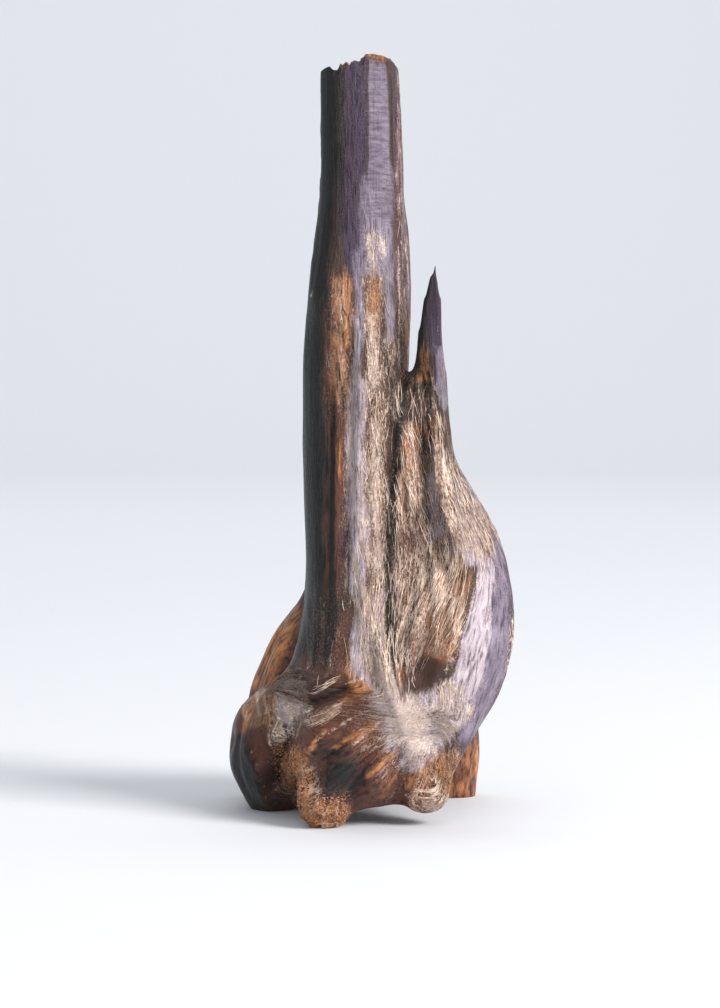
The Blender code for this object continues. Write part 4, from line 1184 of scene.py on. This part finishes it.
def worked(points, normals):
    """Presses the marks and knobs into the skin and raises its lumps."""
    seen = {view: ramp(normals @ facing, *FACING) for view, (_, facing) in VIEWS.items()}
    lift = LUMP_RISE * noise(points, "lumps")
    lift *= 1 - LUMP_CALM * ramp(points[:, 2], *FINE_HEIGHT)
    for view, width, rise, line in rows_of(MARKS):
        flat = points[:, (VIEWS[view][0], 2)]
        lift += rise * seen[view] * nearness(flat, line, width)
    for view, across, height, width, rise in rows_of(KNOBS):
        away = np.hypot(points[:, VIEWS[view][0]] - across, points[:, 2] - height)
        lift += rise * seen[view] * np.exp(-((away / width) ** 2))
    return points + normals * lift[:, None]


def ridged(field):
    """Turns smooth noise into noise with sharp crests, from -1 to 1."""
    return 1 - 2 * np.abs(field)


def fine_lift(points, normals, wood):
    """Height of the fine relief: a long low grain everywhere, sharp ridges along and a little
    across the fibres where the wood is torn, and round crumbs where the resin has crumbled."""
    grain = grain_at(points)
    finish = finishes_at(points, normals, grain, ("fibrous", "crumb", "bloom", "pocket"))
    torn = finish["fibrous"] * (1 - finish["pocket"])
    ridges = sum(part * ridged(noise(grain, name)) for name, part in TORN_RIDGES.items())
    long_grain = noise(grain, "long grain") + SHORT_GRAIN * noise(grain, "short grain")
    crumbs = ridged(noise(points, "crumbs")) + FINE_CRUMBS * noise(points, "fine crumbs")
    # the grain is calmer under the painted sheen of the polished facets
    lift = wood.grain_rise * long_grain * (1 - SHEEN_CALM * finish["bloom"])
    lift += torn * (wood.torn_rise * ridges - wood.torn_depth)
    lift += wood.crumb_rise * finish["crumb"] * crumbs
    return lift / MM


def wood_mesh(wood):
    """The whole skin: limbs and lobes grown together on a grid of cells, hollowed between the
    feet, softened, divided finely, marked, and cut level below and torn off above."""
    limbs = [
        limb(STEM, STEM_FACES),
        limb(SPLINTER),
        limb(WEB),
        limb(FLANK),
        limb(REAR_WALL, WALL_FACES),
    ]
    remesh = ("REMESH", {"mode": "VOXEL", "voxel_size": wood.cell / MM})
    rough = mesh_from("wood", *gathered(limbs + [lobe(*row) for row in LOBES]))
    grown = mesh_from("wood", *outer_skin(modified(rough, remesh)))
    closed = ("WELD", {"merge_threshold": SEAM})
    cutters = []
    for row in HOLLOWS:
        hollow = modified(mesh_from("hollow", *gathered([lobe(*row)])), closed)
        cutters.append(bpy.data.objects.new("hollow", hollow))
        bpy.context.scene.collection.objects.link(cutters[-1])
        cutters[-1].hide_render = True
    cut = {"operation": "DIFFERENCE", "solver": "EXACT"}
    cuts = [("BOOLEAN", {**cut, "object": cutter}) for cutter in cutters]
    points, quads = outer_skin(modified(grown, *cuts, remesh))
    for cutter in cutters:
        bpy.data.objects.remove(cutter)
    levels = 2
    coarse = mesh_from("wood", softened(points, quads), quads)
    skin = modified(coarse, ("SUBSURF", {"levels": levels, "render_levels": levels}))

    points = worked(points_of(skin), normals_of(skin))
    put_points(skin, points)
    normals = normals_of(skin)
    points = points + normals * fine_lift(points, normals, wood)[:, None]
    top = break_height(points[:, 0], points[:, 1]) + BREAK_ZONE * (points[:, 2] < BREAK_ZONE)
    points[:, 2] = np.clip(points[:, 2], 0.0, top)
    put_points(skin, points)
    welded = modified(skin, ("WELD", {"merge_threshold": CRUSHED}))
    triangles = sum(len(face.vertices) - 2 for face in welded.polygons)
    thinned = ("DECIMATE", {"ratio": min(1.0, wood.triangles / triangles)})
    return modified(welded, thinned, ("TRIANGULATE", {}))


def placed(points):
    """Moves points from the tables' frame to the object's own, in metres."""
    return (points - (*CENTRE, 0.0)) * MM


def tabled(points):
    """Moves points from metres back to the tables' frame."""
    return points / MM + (*CENTRE, 0.0)


def new_piece(name, mesh, material, stands_for=None):
    """Puts a finished mesh into the scene as a piece that rides on the wood's body."""
    mesh.shade_smooth()
    piece = bpy.data.objects.new(name, mesh)
    bpy.context.scene.collection.objects.link(piece)
    piece.data.materials.clear()
    piece.data.materials.append(material)
    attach(piece, BODY)
    if stands_for:
        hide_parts(stands_for)


def add_attribute(mesh, name, values):
    """Stores one number or one vector for each point of the mesh."""
    if values.ndim == 1:
        mesh.attributes.new(name, "FLOAT", "POINT").data.foreach_set("value", values.astype(np.float32))
    else:
        data = mesh.attributes.new(name, "FLOAT_VECTOR", "POINT").data
        data.foreach_set("vector", values.astype(np.float32).ravel())


# Materials


def node(tree, kind, inputs=(), **settings):
    """Adds one node. An input that is a socket is linked, and anything else is a value."""
    made = tree.nodes.new("ShaderNode" + kind)
    for key, value in settings.items():
        setattr(made, key, value)
    for key, value in dict(inputs).items():
        if isinstance(value, bpy.types.NodeSocket):
            tree.links.new(value, made.inputs[key])
        else:
            made.inputs[key].default_value = value
    return made


def maths(tree, operation, *values, **settings):
    """One step of arithmetic on up to three values."""
    return node(tree, "Math", dict(enumerate(values)), operation=operation, **settings).outputs[0]


def plus(tree, first, second):
    """The sum of two values."""
    return maths(tree, "ADD", first, second)


def times(tree, first, second):
    """The product of two values."""
    return maths(tree, "MULTIPLY", first, second)


def between(tree, value, low, high, start=0.0, end=1.0):
    """Maps value smoothly from low and high to start and end."""
    inputs = {"Value": value, 1: low, 2: high, 3: start, 4: end}
    return node(tree, "MapRange", inputs, interpolation_type="SMOOTHSTEP").outputs[0]


def mixed(tree, factor, first, second):
    """A value between two others: the first at factor 0 and the second at factor 1."""
    return node(tree, "Mix", {0: factor, 2: first, 3: second}).outputs[0]


def blended(tree, factor, first, second, **settings):
    """The same for two colours, which can also be multiplied with each other."""
    inputs = {0: factor, 6: first, 7: second}
    return node(tree, "Mix", inputs, data_type="RGBA", **settings).outputs[2]


def spread_out(tree, value, low, high):
    """Maps value evenly from low and high to 0 and 1."""
    return node(tree, "MapRange", {"Value": value, 1: low, 2: high}).outputs[0]


def stepped(tree, value, name):
    """Takes a value through one of the smooth steps."""
    return between(tree, value, *STEPS[name])


def attribute(tree, name, output="Fac"):
    """What the mesh stores at each point under a name."""
    return node(tree, "Attribute", attribute_name=name).outputs[output]


def streaks(tree, vector, across, along, detail, seed=0.0):
    """Noise drawn out along the fibres and spread over 0 to 1: across and along are its cells
    per millimetre."""
    scaled = node(tree, "Mapping", {"Vector": vector, "Location": (seed, seed, seed),
                                    "Scale": (across, across, along)}).outputs[0]
    inputs = {"Vector": scaled, "Scale": 1.0, "Detail": detail, "Roughness": NOISE_ROUGHNESS}
    return spread_out(tree, node(tree, "TexNoise", inputs).outputs[0], *NOISE_SPAN)


def specks(tree, name):
    """Noise that is the same in all directions, spread over 0 to 1."""
    per_mm, detail = SPECKS[name]
    place = node(tree, "TexCoord").outputs["Object"]
    return streaks(tree, place, per_mm / MM, per_mm / MM, detail)


def hairs(tree, grain, degrees, across, along, width, seed):
    """Thin lines along the fibres: the places where drawn-out noise passes its middle value,
    turned by some degrees in the skin."""
    laid = node(tree, "Mapping", {"Vector": grain, "Rotation": (0.0, math.radians(degrees), 0.0)})
    wave = streaks(tree, laid.outputs[0], across, along, HAIR_DETAIL, seed)
    return between(tree, maths(tree, "ABSOLUTE", plus(tree, wave, -0.5)), width, 0.0)


def woven(tree, broad, fine, speck):
    """A broad pattern whose edges are broken up along the fibres and by specks: the three, each
    times its share, added up and spread over 0 to 1."""
    edges = maths(tree, "MULTIPLY_ADD", fine, WOVEN_FINE, times(tree, speck, WOVEN_SPECK))
    pattern = maths(tree, "MULTIPLY_ADD", broad, WOVEN_BROAD, edges)
    return spread_out(tree, pattern, *WOVEN_SPAN)


def revealed(tree, strength, pattern, contrast):
    """Shows a finish through a pattern: strength * (1 + contrast) - pattern * contrast, so none
    of it at strength 0 and all of it at 1."""
    inverse = times(tree, pattern, -contrast)
    return maths(tree, "MULTIPLY_ADD", strength, 1 + contrast, inverse, use_clamp=True)


def solid(rgb):
    """A colour with nothing seen through it."""
    return (*rgb, 1.0)


def new_material(name):
    """A new material, its nodes and its shader."""
    material = bpy.data.materials.new(name)
    material.use_nodes = True
    return material, material.node_tree, material.node_tree.nodes["Principled BSDF"]


def wood_material(wood):
    """Dark resinous wood: brown, violet and rust-red wood with black resin, amber, a painted lavender
    sheen and pale wood under a painted sheen laid over it through streaks, and felted pale fibres on
    top. The black resin is also painted shade on the side turned from the light and in creases, and
    painted highlights and glints lie over the fibres."""
    material, tree, shader = new_material("resinous wood")
    grain = attribute(tree, "grain", "Vector")
    mask = {finish: attribute(tree, finish) for finish in FINISHES}
    drawn = {name: streaks(tree, grain, *row) for name, row in PATTERNS.items()}
    fine, tone = drawn["fine"], drawn["tone"]
    speck = specks(tree, "speck")
    cloud = specks(tree, "cloud")
    band = woven(tree, drawn["band"], fine, speck)
    clump = woven(tree, drawn["clump"], fine, speck)
    drift = woven(tree, drawn["drift"], tone, speck)
    hair = 0.0
    for row in HAIRS:
        hair = maths(tree, "MAXIMUM", hair, hairs(tree, grain, *row))

    glow = stepped(tree, plus(tree, tone, clump), "glow")
    # the ripples darken the painted sheen in lines: painted shade of the ripple marks
    ripple = times(tree, drawn["ripple"], mask["ripple"])
    calm = mixed(tree, mask["ripple"], times(tree, plus(tree, tone, fine), 0.5), RIPPLE_CALM)
    light = mixed(tree, CLOUD_SHARE, calm, cloud)
    light = maths(tree, "SUBTRACT", light, times(tree, ripple, RIPPLE_SHADE))
    layers = (
        ("violet", band, solid(wood.violet)),
        ("rust", clump, solid(wood.rust)),
        ("amber", drift, blended(tree, glow, solid(wood.amber_low), solid(wood.amber_high))),
        # black resin, and painted shade on the side turned from the light and in creases
        ("soot", band, solid(wood.soot)),
        # painted sheen: lavender reflection painted as colour, thin to thick by its lightness
        ("bloom", clump, blended(tree, light, solid(wood.sheen_low), solid(wood.sheen_high))),
        # pale wood under a painted sheen, thin to thick by its lightness
        ("frost", drift, blended(tree, light, solid(wood.pale_wood_sheen_low), solid(wood.pale_wood_sheen_high))),
    )
    ground, shown = solid(wood.brown), {}
    for finish, pattern, laid in layers:
        shown[finish] = revealed(tree, mask[finish], pattern, CONTRAST[finish])
        ground = blended(tree, shown[finish], ground, laid)
    dark = stepped(tree, fine, "dark")
    dark = mixed(tree, times(tree, mask["ripple"], RIPPLE_LEVEL), dark, RIPPLE_DARK)
    shade = node(tree, "CombineColor", {0: dark, 1: dark, 2: dark}).outputs[0]
    ground = blended(tree, 1.0, ground, shade, blend_type="MULTIPLY")

    pale = blended(tree, tone, solid(wood.fibre_low), solid(wood.fibre_high))
    pale = blended(tree, times(tree, shown["amber"], AMBER_TINT), pale, solid(wood.amber_high))
    grit = times(tree, hair, plus(tree, speck, HAIR_LEAST))
    clear = stepped(tree, mask["soot"], "clear")
    felt = times(tree, revealed(tree, mask["fleck"], clump, CONTRAST["fleck"]), clear)
    ground = blended(tree, times(tree, felt, stepped(tree, grit, "felt")), ground, pale)
    # painted glints: bright specks of reflected light among the pale fibres and the crumbs
    glinting = maths(tree, "MAXIMUM", times(tree, mask["fleck"], GLINT_FLECK), mask["crumb"])
    painted_glint = times(tree, stepped(tree, specks(tree, "painted_glint"), "painted_glint"), glinting)
    glint_colour = blended(tree, cloud, solid(wood.amber_high), solid(wood.fibre_high))
    ground = blended(tree, times(tree, painted_glint, GLINT_STRENGTH), ground, glint_colour)
    # bare cream wood, with painted highlights on the knot and the ridges
    worn = times(tree, plus(tree, drift, speck), 0.5)
    bare_and_highlight = revealed(tree, mask["cream"], worn, CONTRAST["cream"])
    bare_and_highlight_colour = blended(tree, stepped(tree, fine, "cream"), solid(wood.fibre_low), solid(wood.cream))
    ground = blended(tree, bare_and_highlight, ground, bare_and_highlight_colour)
    pocket = revealed(tree, mask["pocket"], speck, CONTRAST["pocket"])
    ground = blended(tree, pocket, ground, solid(wood.pocket))

    raised = times(tree, hair, stepped(tree, mask["fleck"], "raised"))
    gritty = times(tree, speck, stepped(tree, mask["crumb"], "gritty"))
    grooves = plus(tree, times(tree, fine, GROOVE_HEIGHT), times(tree, ripple, RIPPLE_HEIGHT))
    height = plus(tree, plus(tree, raised, gritty), grooves)
    bump = node(tree, "Bump", {"Height": height, "Distance": wood.bump, "Strength": 1.0}).outputs[0]
    matt = stepped(tree, mask["fleck"], "matt")
    tree.links.new(ground, shader.inputs["Base Color"])
    tree.links.new(bump, shader.inputs["Normal"])
    tree.links.new(plus(tree, matt, times(tree, speck, SPECK_MATT)), shader.inputs["Roughness"])
    shader.inputs["Specular IOR Level"].default_value = WOOD_GLOSS
    return material


def fibre_material(name, low, high):
    """Loose fibre: a colour of its own for each strand, darker in places."""
    material, tree, shader = new_material(name)
    mottle = times(tree, specks(tree, "strand"), STRAND_MOTTLE)
    tone = plus(tree, attribute(tree, "tone"), mottle)
    ground = blended(tree, stepped(tree, tone, "strand"), solid(low), solid(high))
    tree.links.new(ground, shader.inputs["Base Color"])
    shader.inputs["Roughness"].default_value = STRAND_ROUGHNESS
    shader.inputs["Specular IOR Level"].default_value = STRAND_GLOSS
    return material


# Small pieces


class Face:
    """The skin seen from the front, as a grid of depths over across and height."""

    def __init__(self, points, normals):
        near = -normals[:, 1] > FACE_SLOPE
        flat, depth = points[near][:, (0, 2)], -points[near][:, 1]
        self.low = flat.min(axis=0) - 2 * FACE_CELL
        size = ((flat.max(axis=0) - self.low) / FACE_CELL).astype(int) + 4
        at = tuple(((flat - self.low) / FACE_CELL).round().astype(int).T)
        grid = np.full(size, -np.inf)
        np.maximum.at(grid, at, depth)
        for _ in range(FACE_FILLS):
            around = np.stack([np.roll(grid, step, axis) for step in (-1, 1) for axis in (0, 1)])
            grid = np.where(np.isinf(grid), around.max(axis=0), grid)
        self.grid = np.where(np.isinf(grid), depth.min(), grid)

    def depth(self, across, height):
        """Depth of the skin, blended between the four nearest cells."""
        cell = (np.stack([across, height], axis=-1) - self.low) / FACE_CELL
        cell = np.clip(cell, 0, np.array(self.grid.shape) - 1.001)  # just inside the last cell
        low = cell.astype(int)
        return between_cells(self.grid, low, cell - low)

    def points(self, across, height, lift):
        """Points over the skin, lifted off it towards the front."""
        return np.stack([across, -(self.depth(across, height) + lift), height], axis=-1)

    def outward(self, across, height):
        """Direction out of the skin, from the slope of the grid of depths."""
        step = 2 * FACE_CELL
        right, left = self.depth(across + step, height), self.depth(across - step, height)
        above, below = self.depth(across, height + step), self.depth(across, height - step)
        slopes = [-(right - left) / (2 * step), -np.ones_like(across), -(above - below) / (2 * step)]
        out = np.stack(slopes, axis=-1)
        return out / np.linalg.norm(out, axis=-1, keepdims=True)


def strand_mesh(name, paths, outward, width, thickness):
    """Tapered strands: an ellipse carried along each path, its wide way in the skin and its thin
    way out of it, closed by a single point at each end."""
    along = np.gradient(paths, axis=1)
    along /= np.linalg.norm(along, axis=-1, keepdims=True)
    side = np.cross(along, outward)
    side /= np.linalg.norm(side, axis=-1, keepdims=True)
    out = np.cross(side, along)
    angle = np.linspace(0, 2 * math.pi, STRAND_SIDES, endpoint=False)[:, None]
    rings = paths[:, 1:-1, None]
    rings = rings + width[:, 1:-1, None, None] * np.cos(angle) * side[:, 1:-1, None]
    rings = rings + thickness[:, 1:-1, None, None] * np.sin(angle) * out[:, 1:-1, None]
    numbers = np.arange(rings.size // 3).reshape(rings.shape[:-1])
    ahead = np.roll(numbers, -1, axis=2)
    quads = np.stack([numbers[:, :-1], ahead[:, :-1], ahead[:, 1:], numbers[:, 1:]], axis=-1)
    first = np.arange(len(paths))[:, None] + numbers.size
    last = first + len(paths)
    starts = [ahead[:, 0], numbers[:, 0], np.repeat(first, STRAND_SIDES, axis=1)]
    ends = [numbers[:, -1], ahead[:, -1], np.repeat(last, STRAND_SIDES, axis=1)]
    tips = (np.stack(corners, axis=-1).reshape(-1, 3) for corners in (starts, ends))
    points = np.concatenate([rings.reshape(-1, 3), paths[:, 0], paths[:, -1]])
    return mesh_from(name, placed(points), quads.reshape(-1, 4), *tips)


def strand_tones(mesh, tones, steps):
    """Gives all the points of a strand with so many steps the strand's own tone."""
    rings = np.repeat(tones, (steps - 2) * STRAND_SIDES)
    add_attribute(mesh, "tone", np.concatenate([rings, tones, tones]))


def laid_strands(name, face, paths, thickness, lift, seed):
    """Strands laid on the skin along flat paths, given as across and height: their ends stand
    off a little, they taper to both ends, and neighbours are alike in tone. A strand that would
    step from one limb to another behind it is left out."""
    jump = np.abs(np.diff(face.depth(paths[..., 0], paths[..., 1]), axis=1)).max(axis=1)
    paths, thickness = paths[jump < JUMP], thickness[jump < JUMP]
    draw = np.random.default_rng(seed)
    count, steps = paths.shape[:2]
    across, height = paths[..., 0], paths[..., 1]
    from_middle = np.abs(2 * np.linspace(0.0, 1.0, steps) - 1)
    raised = lift * from_middle**3 * draw.uniform(0, 1, (count, 1))
    points = face.points(across, height, thickness[:, None] * STRAND_OFF + raised)
    wide = thickness[:, None] * np.sqrt(np.clip(1 - from_middle**STRAND_TAPER, 0, 1))
    mesh = strand_mesh(name, points, face.outward(across, height), wide, STRAND_FLAT * wide)
    middle = np.column_stack([paths[:, steps // 2], np.zeros(count)])
    alike = TONE_RANGE * lumps(middle * TONE_STRETCH, TONE_SIZE, seed=46)
    tones = TONE_MIDDLE + alike + draw.uniform(-TONE_SPREAD, TONE_SPREAD, count)
    strand_tones(mesh, tones, steps)
    return mesh


def fibre_paths(starts, fall, seed, steps=8):
    """Flat paths down the front: each keeps to the fibre it starts on, leans a little off it
    and waves slowly."""
    draw = np.random.default_rng(seed)
    t = np.linspace(0.0, 1.0, steps)
    height = starts[:, 1:2] - fall[:, None] * t
    named = np.repeat(front_across(*starts.T), steps)
    across = fibre_across(named, height.ravel()).reshape(height.shape)
    phase = draw.uniform(0, 2 * math.pi, (len(starts), 1))
    lean = draw.normal(*FIBRE_LEAN, (len(starts), 1)) * fall[:, None]
    wave = FIBRE_WAVE * np.sin(phase + FIBRE_TURN * t)
    return np.stack([across + lean * (t - 0.5) + wave, height], axis=-1)


def bundle_paths(first, last, count, stray, seed, steps=9):
    """Flat paths between two lines: each takes its share of both, and starts and ends at its
    own place along them."""
    draw = np.random.default_rng(seed)
    begin = draw.uniform(*BUNDLE_BEGINS, (count, 1))
    t = begin + (draw.uniform(*BUNDLE_ENDS, (count, 1)) - begin) * np.linspace(0.0, 1.0, steps)
    part = draw.uniform(0.0, 1.0, (count, 1, 1))
    knots = np.linspace(0.0, 1.0, len(first))
    tables = [[(knot, *at) for knot, at in zip(knots, line)] for line in (first, last)]
    sides = [read_table(table, t.ravel()) for table in tables]
    low, high = (side.reshape(count, steps, 2) for side in sides)
    wave = np.sin(draw.uniform(0, 2 * math.pi, (count, 1, 2)) + BUNDLE_TURN * t[..., None])
    return low + (high - low) * part + stray * wave


def chosen(finish, count, seed):
    """Draws points at random, each as likely as its finish is strong."""
    draw = np.random.default_rng(seed)
    return draw.choice(len(finish), count, p=finish / finish.sum())


def skin():
    """Points, normals and finishes of the finished wood, in the tables' frame."""
    mesh = bpy.data.objects["wood"].data
    points, normals = tabled(points_of(mesh)), normals_of(mesh)
    return points, normals, finishes_at(points, normals, grain_at(points))


# Operators


class AgarwoodWood(bpy.types.Operator):
    """Builds the wood in place of its plain solid"""

    bl_idname = "agarwood.wood"
    bl_label = "Wood"

    def execute(self, context):
        wood = context.scene.agarwood_wood
        mesh = wood_mesh(wood)
        points, normals = points_of(mesh), normals_of(mesh)
        grain = grain_at(points)
        add_attribute(mesh, "grain", grain)
        for finish, strength in finishes_at(points, normals, grain).items():
            add_attribute(mesh, finish, strength)
        put_points(mesh, placed(points))
        new_piece("wood", mesh, wood_material(wood), stands_for=NODE)
        return {"FINISHED"}


class AgarwoodFibres(bpy.types.Operator):
    """Lays loose fibres along the torn wood"""

    bl_idname = "agarwood.fibres"
    bl_label = "Loose fibres"

    def execute(self, context):
        wood, fibres = context.scene.agarwood_wood, context.scene.agarwood_fibres
        points, normals, finish = skin()
        torn = finish["fleck"] * finish["fibrous"] ** 3 * (1 - finish["pocket"])
        torn *= (1 - finish["soot"]) ** 2
        torn *= ramp(-normals[:, 1], *FIBRE_FACING) * (points[:, 1] < 0.0)
        fewer = 1 - FIBRE_FEWER * ramp(points[:, 2], *FIBRE_THINS)
        torn *= ramp(points[:, 2], *FIBRE_BEGINS) * fewer
        draw = np.random.default_rng(seed=41)
        starts = points[chosen(torn, fibres.count, seed=42)][:, (0, 2)]
        paths = fibre_paths(starts, draw.uniform(*FIBRE_FALL, fibres.count), seed=43)
        thick = fibres.thickness / MM / 2 * draw.uniform(*FIBRE_THICK, fibres.count)
        mesh = laid_strands("loose_fibres", Face(points, normals), paths, thick, FIBRE_LIFT, seed=44)
        material = fibre_material("loose fibre", wood.fibre_low, wood.fibre_high)
        new_piece("loose_fibres", mesh, material)
        return {"FINISHED"}


class AgarwoodBundles(bpy.types.Operator):
    """Combs bundles of strands over the lip, the tongues and the torn ridges"""

    bl_idname = "agarwood.bundles"
    bl_label = "Combed bundles"

    def execute(self, context):
        wood, bundles = context.scene.agarwood_wood, context.scene.agarwood_bundles
        points, normals, _ = skin()
        paths = np.concatenate([
            bundle_paths(first, last, count, bundles.stray / MM, seed=80 + number)
            for number, (count, first, last) in enumerate(BUNDLES)
        ])
        draw = np.random.default_rng(seed=81)
        thick = bundles.thickness / MM / 2 * draw.uniform(*BUNDLE_THICK, len(paths))
        mesh = laid_strands("combed_strands", Face(points, normals), paths, thick, BUNDLE_LIFT, seed=82)
        material = fibre_material("combed strand", wood.fibre_low, wood.fibre_high)
        new_piece("combed_strands", mesh, material)
        return {"FINISHED"}


class AgarwoodGrains(bpy.types.Operator):
    """Scatters crumbs of resin where it has crumbled"""

    bl_idname = "agarwood.grains"
    bl_label = "Resin grains"

    def execute(self, context):
        wood, grains = context.scene.agarwood_wood, context.scene.agarwood_grains
        points, normals, finish = skin()
        draw = np.random.default_rng(seed=51)
        at = chosen(finish["crumb"] * (points[:, 2] > GRAIN_CLEAR), grains.count, seed=52)
        ball = lobe((0, 0, 0), (1, 1, 1))[::GRAIN_RINGS, ::GRAIN_SIDES]
        size = grains.size / MM * draw.uniform(*GRAIN_SIZES, (grains.count, 1, 1, 1))
        squash = draw.uniform(*GRAIN_SQUASH, (grains.count, 1, 1, 3))
        jag = 1 + GRAIN_JAG * draw.standard_normal((grains.count, *ball.shape[:2], 1))
        for tip in (0, -1):
            jag[:, tip] = jag[:, tip, :1]
        grids = ball * size * squash * jag + points[at][:, None, None]
        grids += GRAIN_OFF * normals[at][:, None, None]
        loose = mesh_from("resin_grains", *gathered(placed(grids)))
        tones = np.repeat(draw.uniform(0, 1, grains.count), ball.shape[0] * ball.shape[1])
        add_attribute(loose, "tone", tones)
        mesh = modified(loose, ("WELD", {"merge_threshold": SEAM * MM}))
        new_piece("resin_grains", mesh, fibre_material("resin grain", wood.rust, wood.amber_high))
        return {"FINISHED"}


class AgarwoodTop(bpy.types.Operator):
    """Stands broken fibre ends on the torn top"""

    bl_idname = "agarwood.top"
    bl_label = "Torn top"

    def execute(self, context):
        wood, top = context.scene.agarwood_wood, context.scene.agarwood_top
        draw = np.random.default_rng(seed=71)
        angle = draw.uniform(0, 2 * math.pi, top.count)
        out = np.sqrt(draw.uniform(*END_SPREAD, top.count))
        x = TOP_CENTRE[0] + END_HALF[0] * out * np.cos(angle)
        y = TOP_CENTRE[1] + END_HALF[1] * out * np.sin(angle)
        rise = END_SUNK + top.height / MM * draw.uniform(0.0, 1.0, top.count) ** 2
        lean = draw.normal(0.0, END_LEAN, (2, top.count, 1))
        t = np.linspace(0.0, 1.0, END_STEPS)
        foot = break_height(x, y) - END_SUNK
        paths = np.stack(
            [x[:, None] + lean[0] * rise[:, None] * t, y[:, None] + lean[1] * rise[:, None] * t,
             foot[:, None] + rise[:, None] * t], axis=-1)
        outward = np.broadcast_to(VIEWS["front"][1], paths.shape)
        wide = draw.uniform(*END_WIDTH, top.count)[:, None] * np.sqrt(END_BLUNT - t**3)
        mesh = strand_mesh("broken_ends", paths, outward, wide, END_FLAT * wide)
        strand_tones(mesh, draw.uniform(*END_TONES, top.count), END_STEPS)
        new_piece("broken_ends", mesh, fibre_material("broken end", wood.rust, wood.fibre_low))
        return {"FINISHED"}


class AgarwoodStage(bpy.types.Operator):
    """Sets the floor, the soft light and the camera"""

    bl_idname = "agarwood.stage"
    bl_label = "Stage"

    def execute(self, context):
        scene, stage = context.scene, context.scene.agarwood_stage
        turn = np.linspace(0.0, math.pi / 2, BEND_STEPS)
        bend_y, bend_z = BEND_BEGINS + BEND * np.sin(turn), BEND - BEND * np.cos(turn)
        level = [-FLOOR_HALF, FLOOR_NEAR, BEND_BEGINS]
        profile_y = np.concatenate([level, bend_y, [BEND_BEGINS + BEND]])
        profile_z = np.concatenate([[0.0, 0.0, 0.0], bend_z, [WALL_TOP]])
        across = np.linspace(-FLOOR_HALF, FLOOR_HALF, FLOOR_POINTS)
        grid = np.broadcast_arrays(across, profile_y[:, None], profile_z[:, None])
        grid = np.stack(grid, axis=-1)
        mesh = mesh_from("floor", grid.reshape(-1, 3), quads_of(grid.shape, closed=False))
        mesh.shade_smooth()
        floor = bpy.data.objects.new("floor", mesh)
        scene.collection.objects.link(floor)
        material, _, shader = new_material("floor")
        shader.inputs["Base Color"].default_value = solid(stage.floor)
        shader.inputs["Roughness"].default_value = FLOOR_ROUGHNESS
        floor.data.materials.append(material)

        scene.world = bpy.data.worlds.new("sky")
        scene.world.use_nodes = True
        sky = scene.world.node_tree.nodes["Background"]
        sky.inputs["Color"].default_value = SKY_TINT
        sky.inputs["Strength"].default_value = stage.sky
        powers = (stage.key_power, stage.fill_power, stage.wall_power)
        for row, watts in zip(LIGHTS, powers):
            soft_light(*row, watts)

        camera = bpy.data.cameras.new("camera")
        camera.lens = stage.lens
        camera.sensor_width = CAMERA_SENSOR
        camera.clip_end = CAMERA_REACH
        view = bpy.data.objects.new("camera", camera)
        view.location = CAMERA_PLACE
        view.rotation_euler = (math.radians(90.0 - CAMERA_DOWN), 0.0, 0.0)
        scene.collection.objects.link(view)
        scene.camera = view
        scene.view_settings.view_transform = "Standard"
        return {"FINISHED"}


def soft_light(name, place, target, size, tint, watts):
    """A square soft light that faces its target."""
    light = bpy.data.lights.new(name, "AREA")
    light.size = size
    light.energy = watts
    light.color = tint
    lamp = bpy.data.objects.new(name, light)
    lamp.location = place
    aim = Vector(target) - lamp.location
    lamp.rotation_euler = aim.to_track_quat("-Z", "Y").to_euler()
    bpy.context.scene.collection.objects.link(lamp)


class AgarwoodPanel(bpy.types.Panel):
    """Lists the pieces in the sidebar"""

    bl_idname = "VIEW3D_PT_agarwood"
    bl_label = "Agarwood"
    bl_space_type = "VIEW_3D"
    bl_region_type = "UI"
    bl_category = "Agarwood"

    def draw(self, context):
        for operator, settings, _ in PARTS:
            box = self.layout.box()
            box.operator(operator.bl_idname)
            values = getattr(context.scene, settings)
            for name in values.bl_rna.properties.keys():
                if name not in ("rna_type", "name"):
                    box.prop(values, name)


PARTS = (
    (AgarwoodWood, "agarwood_wood", WoodSettings),
    (AgarwoodFibres, "agarwood_fibres", FibreSettings),
    (AgarwoodBundles, "agarwood_bundles", BundleSettings),
    (AgarwoodGrains, "agarwood_grains", GrainSettings),
    (AgarwoodTop, "agarwood_top", TopSettings),
    (AgarwoodStage, "agarwood_stage", StageSettings),
)


def register():
    """Registers the settings, the operators and the panel."""
    for operator, settings, group in PARTS:
        bpy.utils.register_class(operator)
        bpy.utils.register_class(group)
        setattr(bpy.types.Scene, settings, bpy.props.PointerProperty(type=group))
    bpy.utils.register_class(AgarwoodPanel)


def unregister():
    """Takes back what register does."""
    bpy.utils.unregister_class(AgarwoodPanel)
    for operator, settings, group in PARTS:
        delattr(bpy.types.Scene, settings)
        bpy.utils.unregister_class(group)
        bpy.utils.unregister_class(operator)


def main():
    """Builds every piece and the stage."""
    register()
    bpy.ops.agarwood.wood()
    bpy.ops.agarwood.fibres()
    bpy.ops.agarwood.bundles()
    bpy.ops.agarwood.grains()
    bpy.ops.agarwood.top()
    bpy.ops.agarwood.stage()


if __name__ == "__main__":
    main()
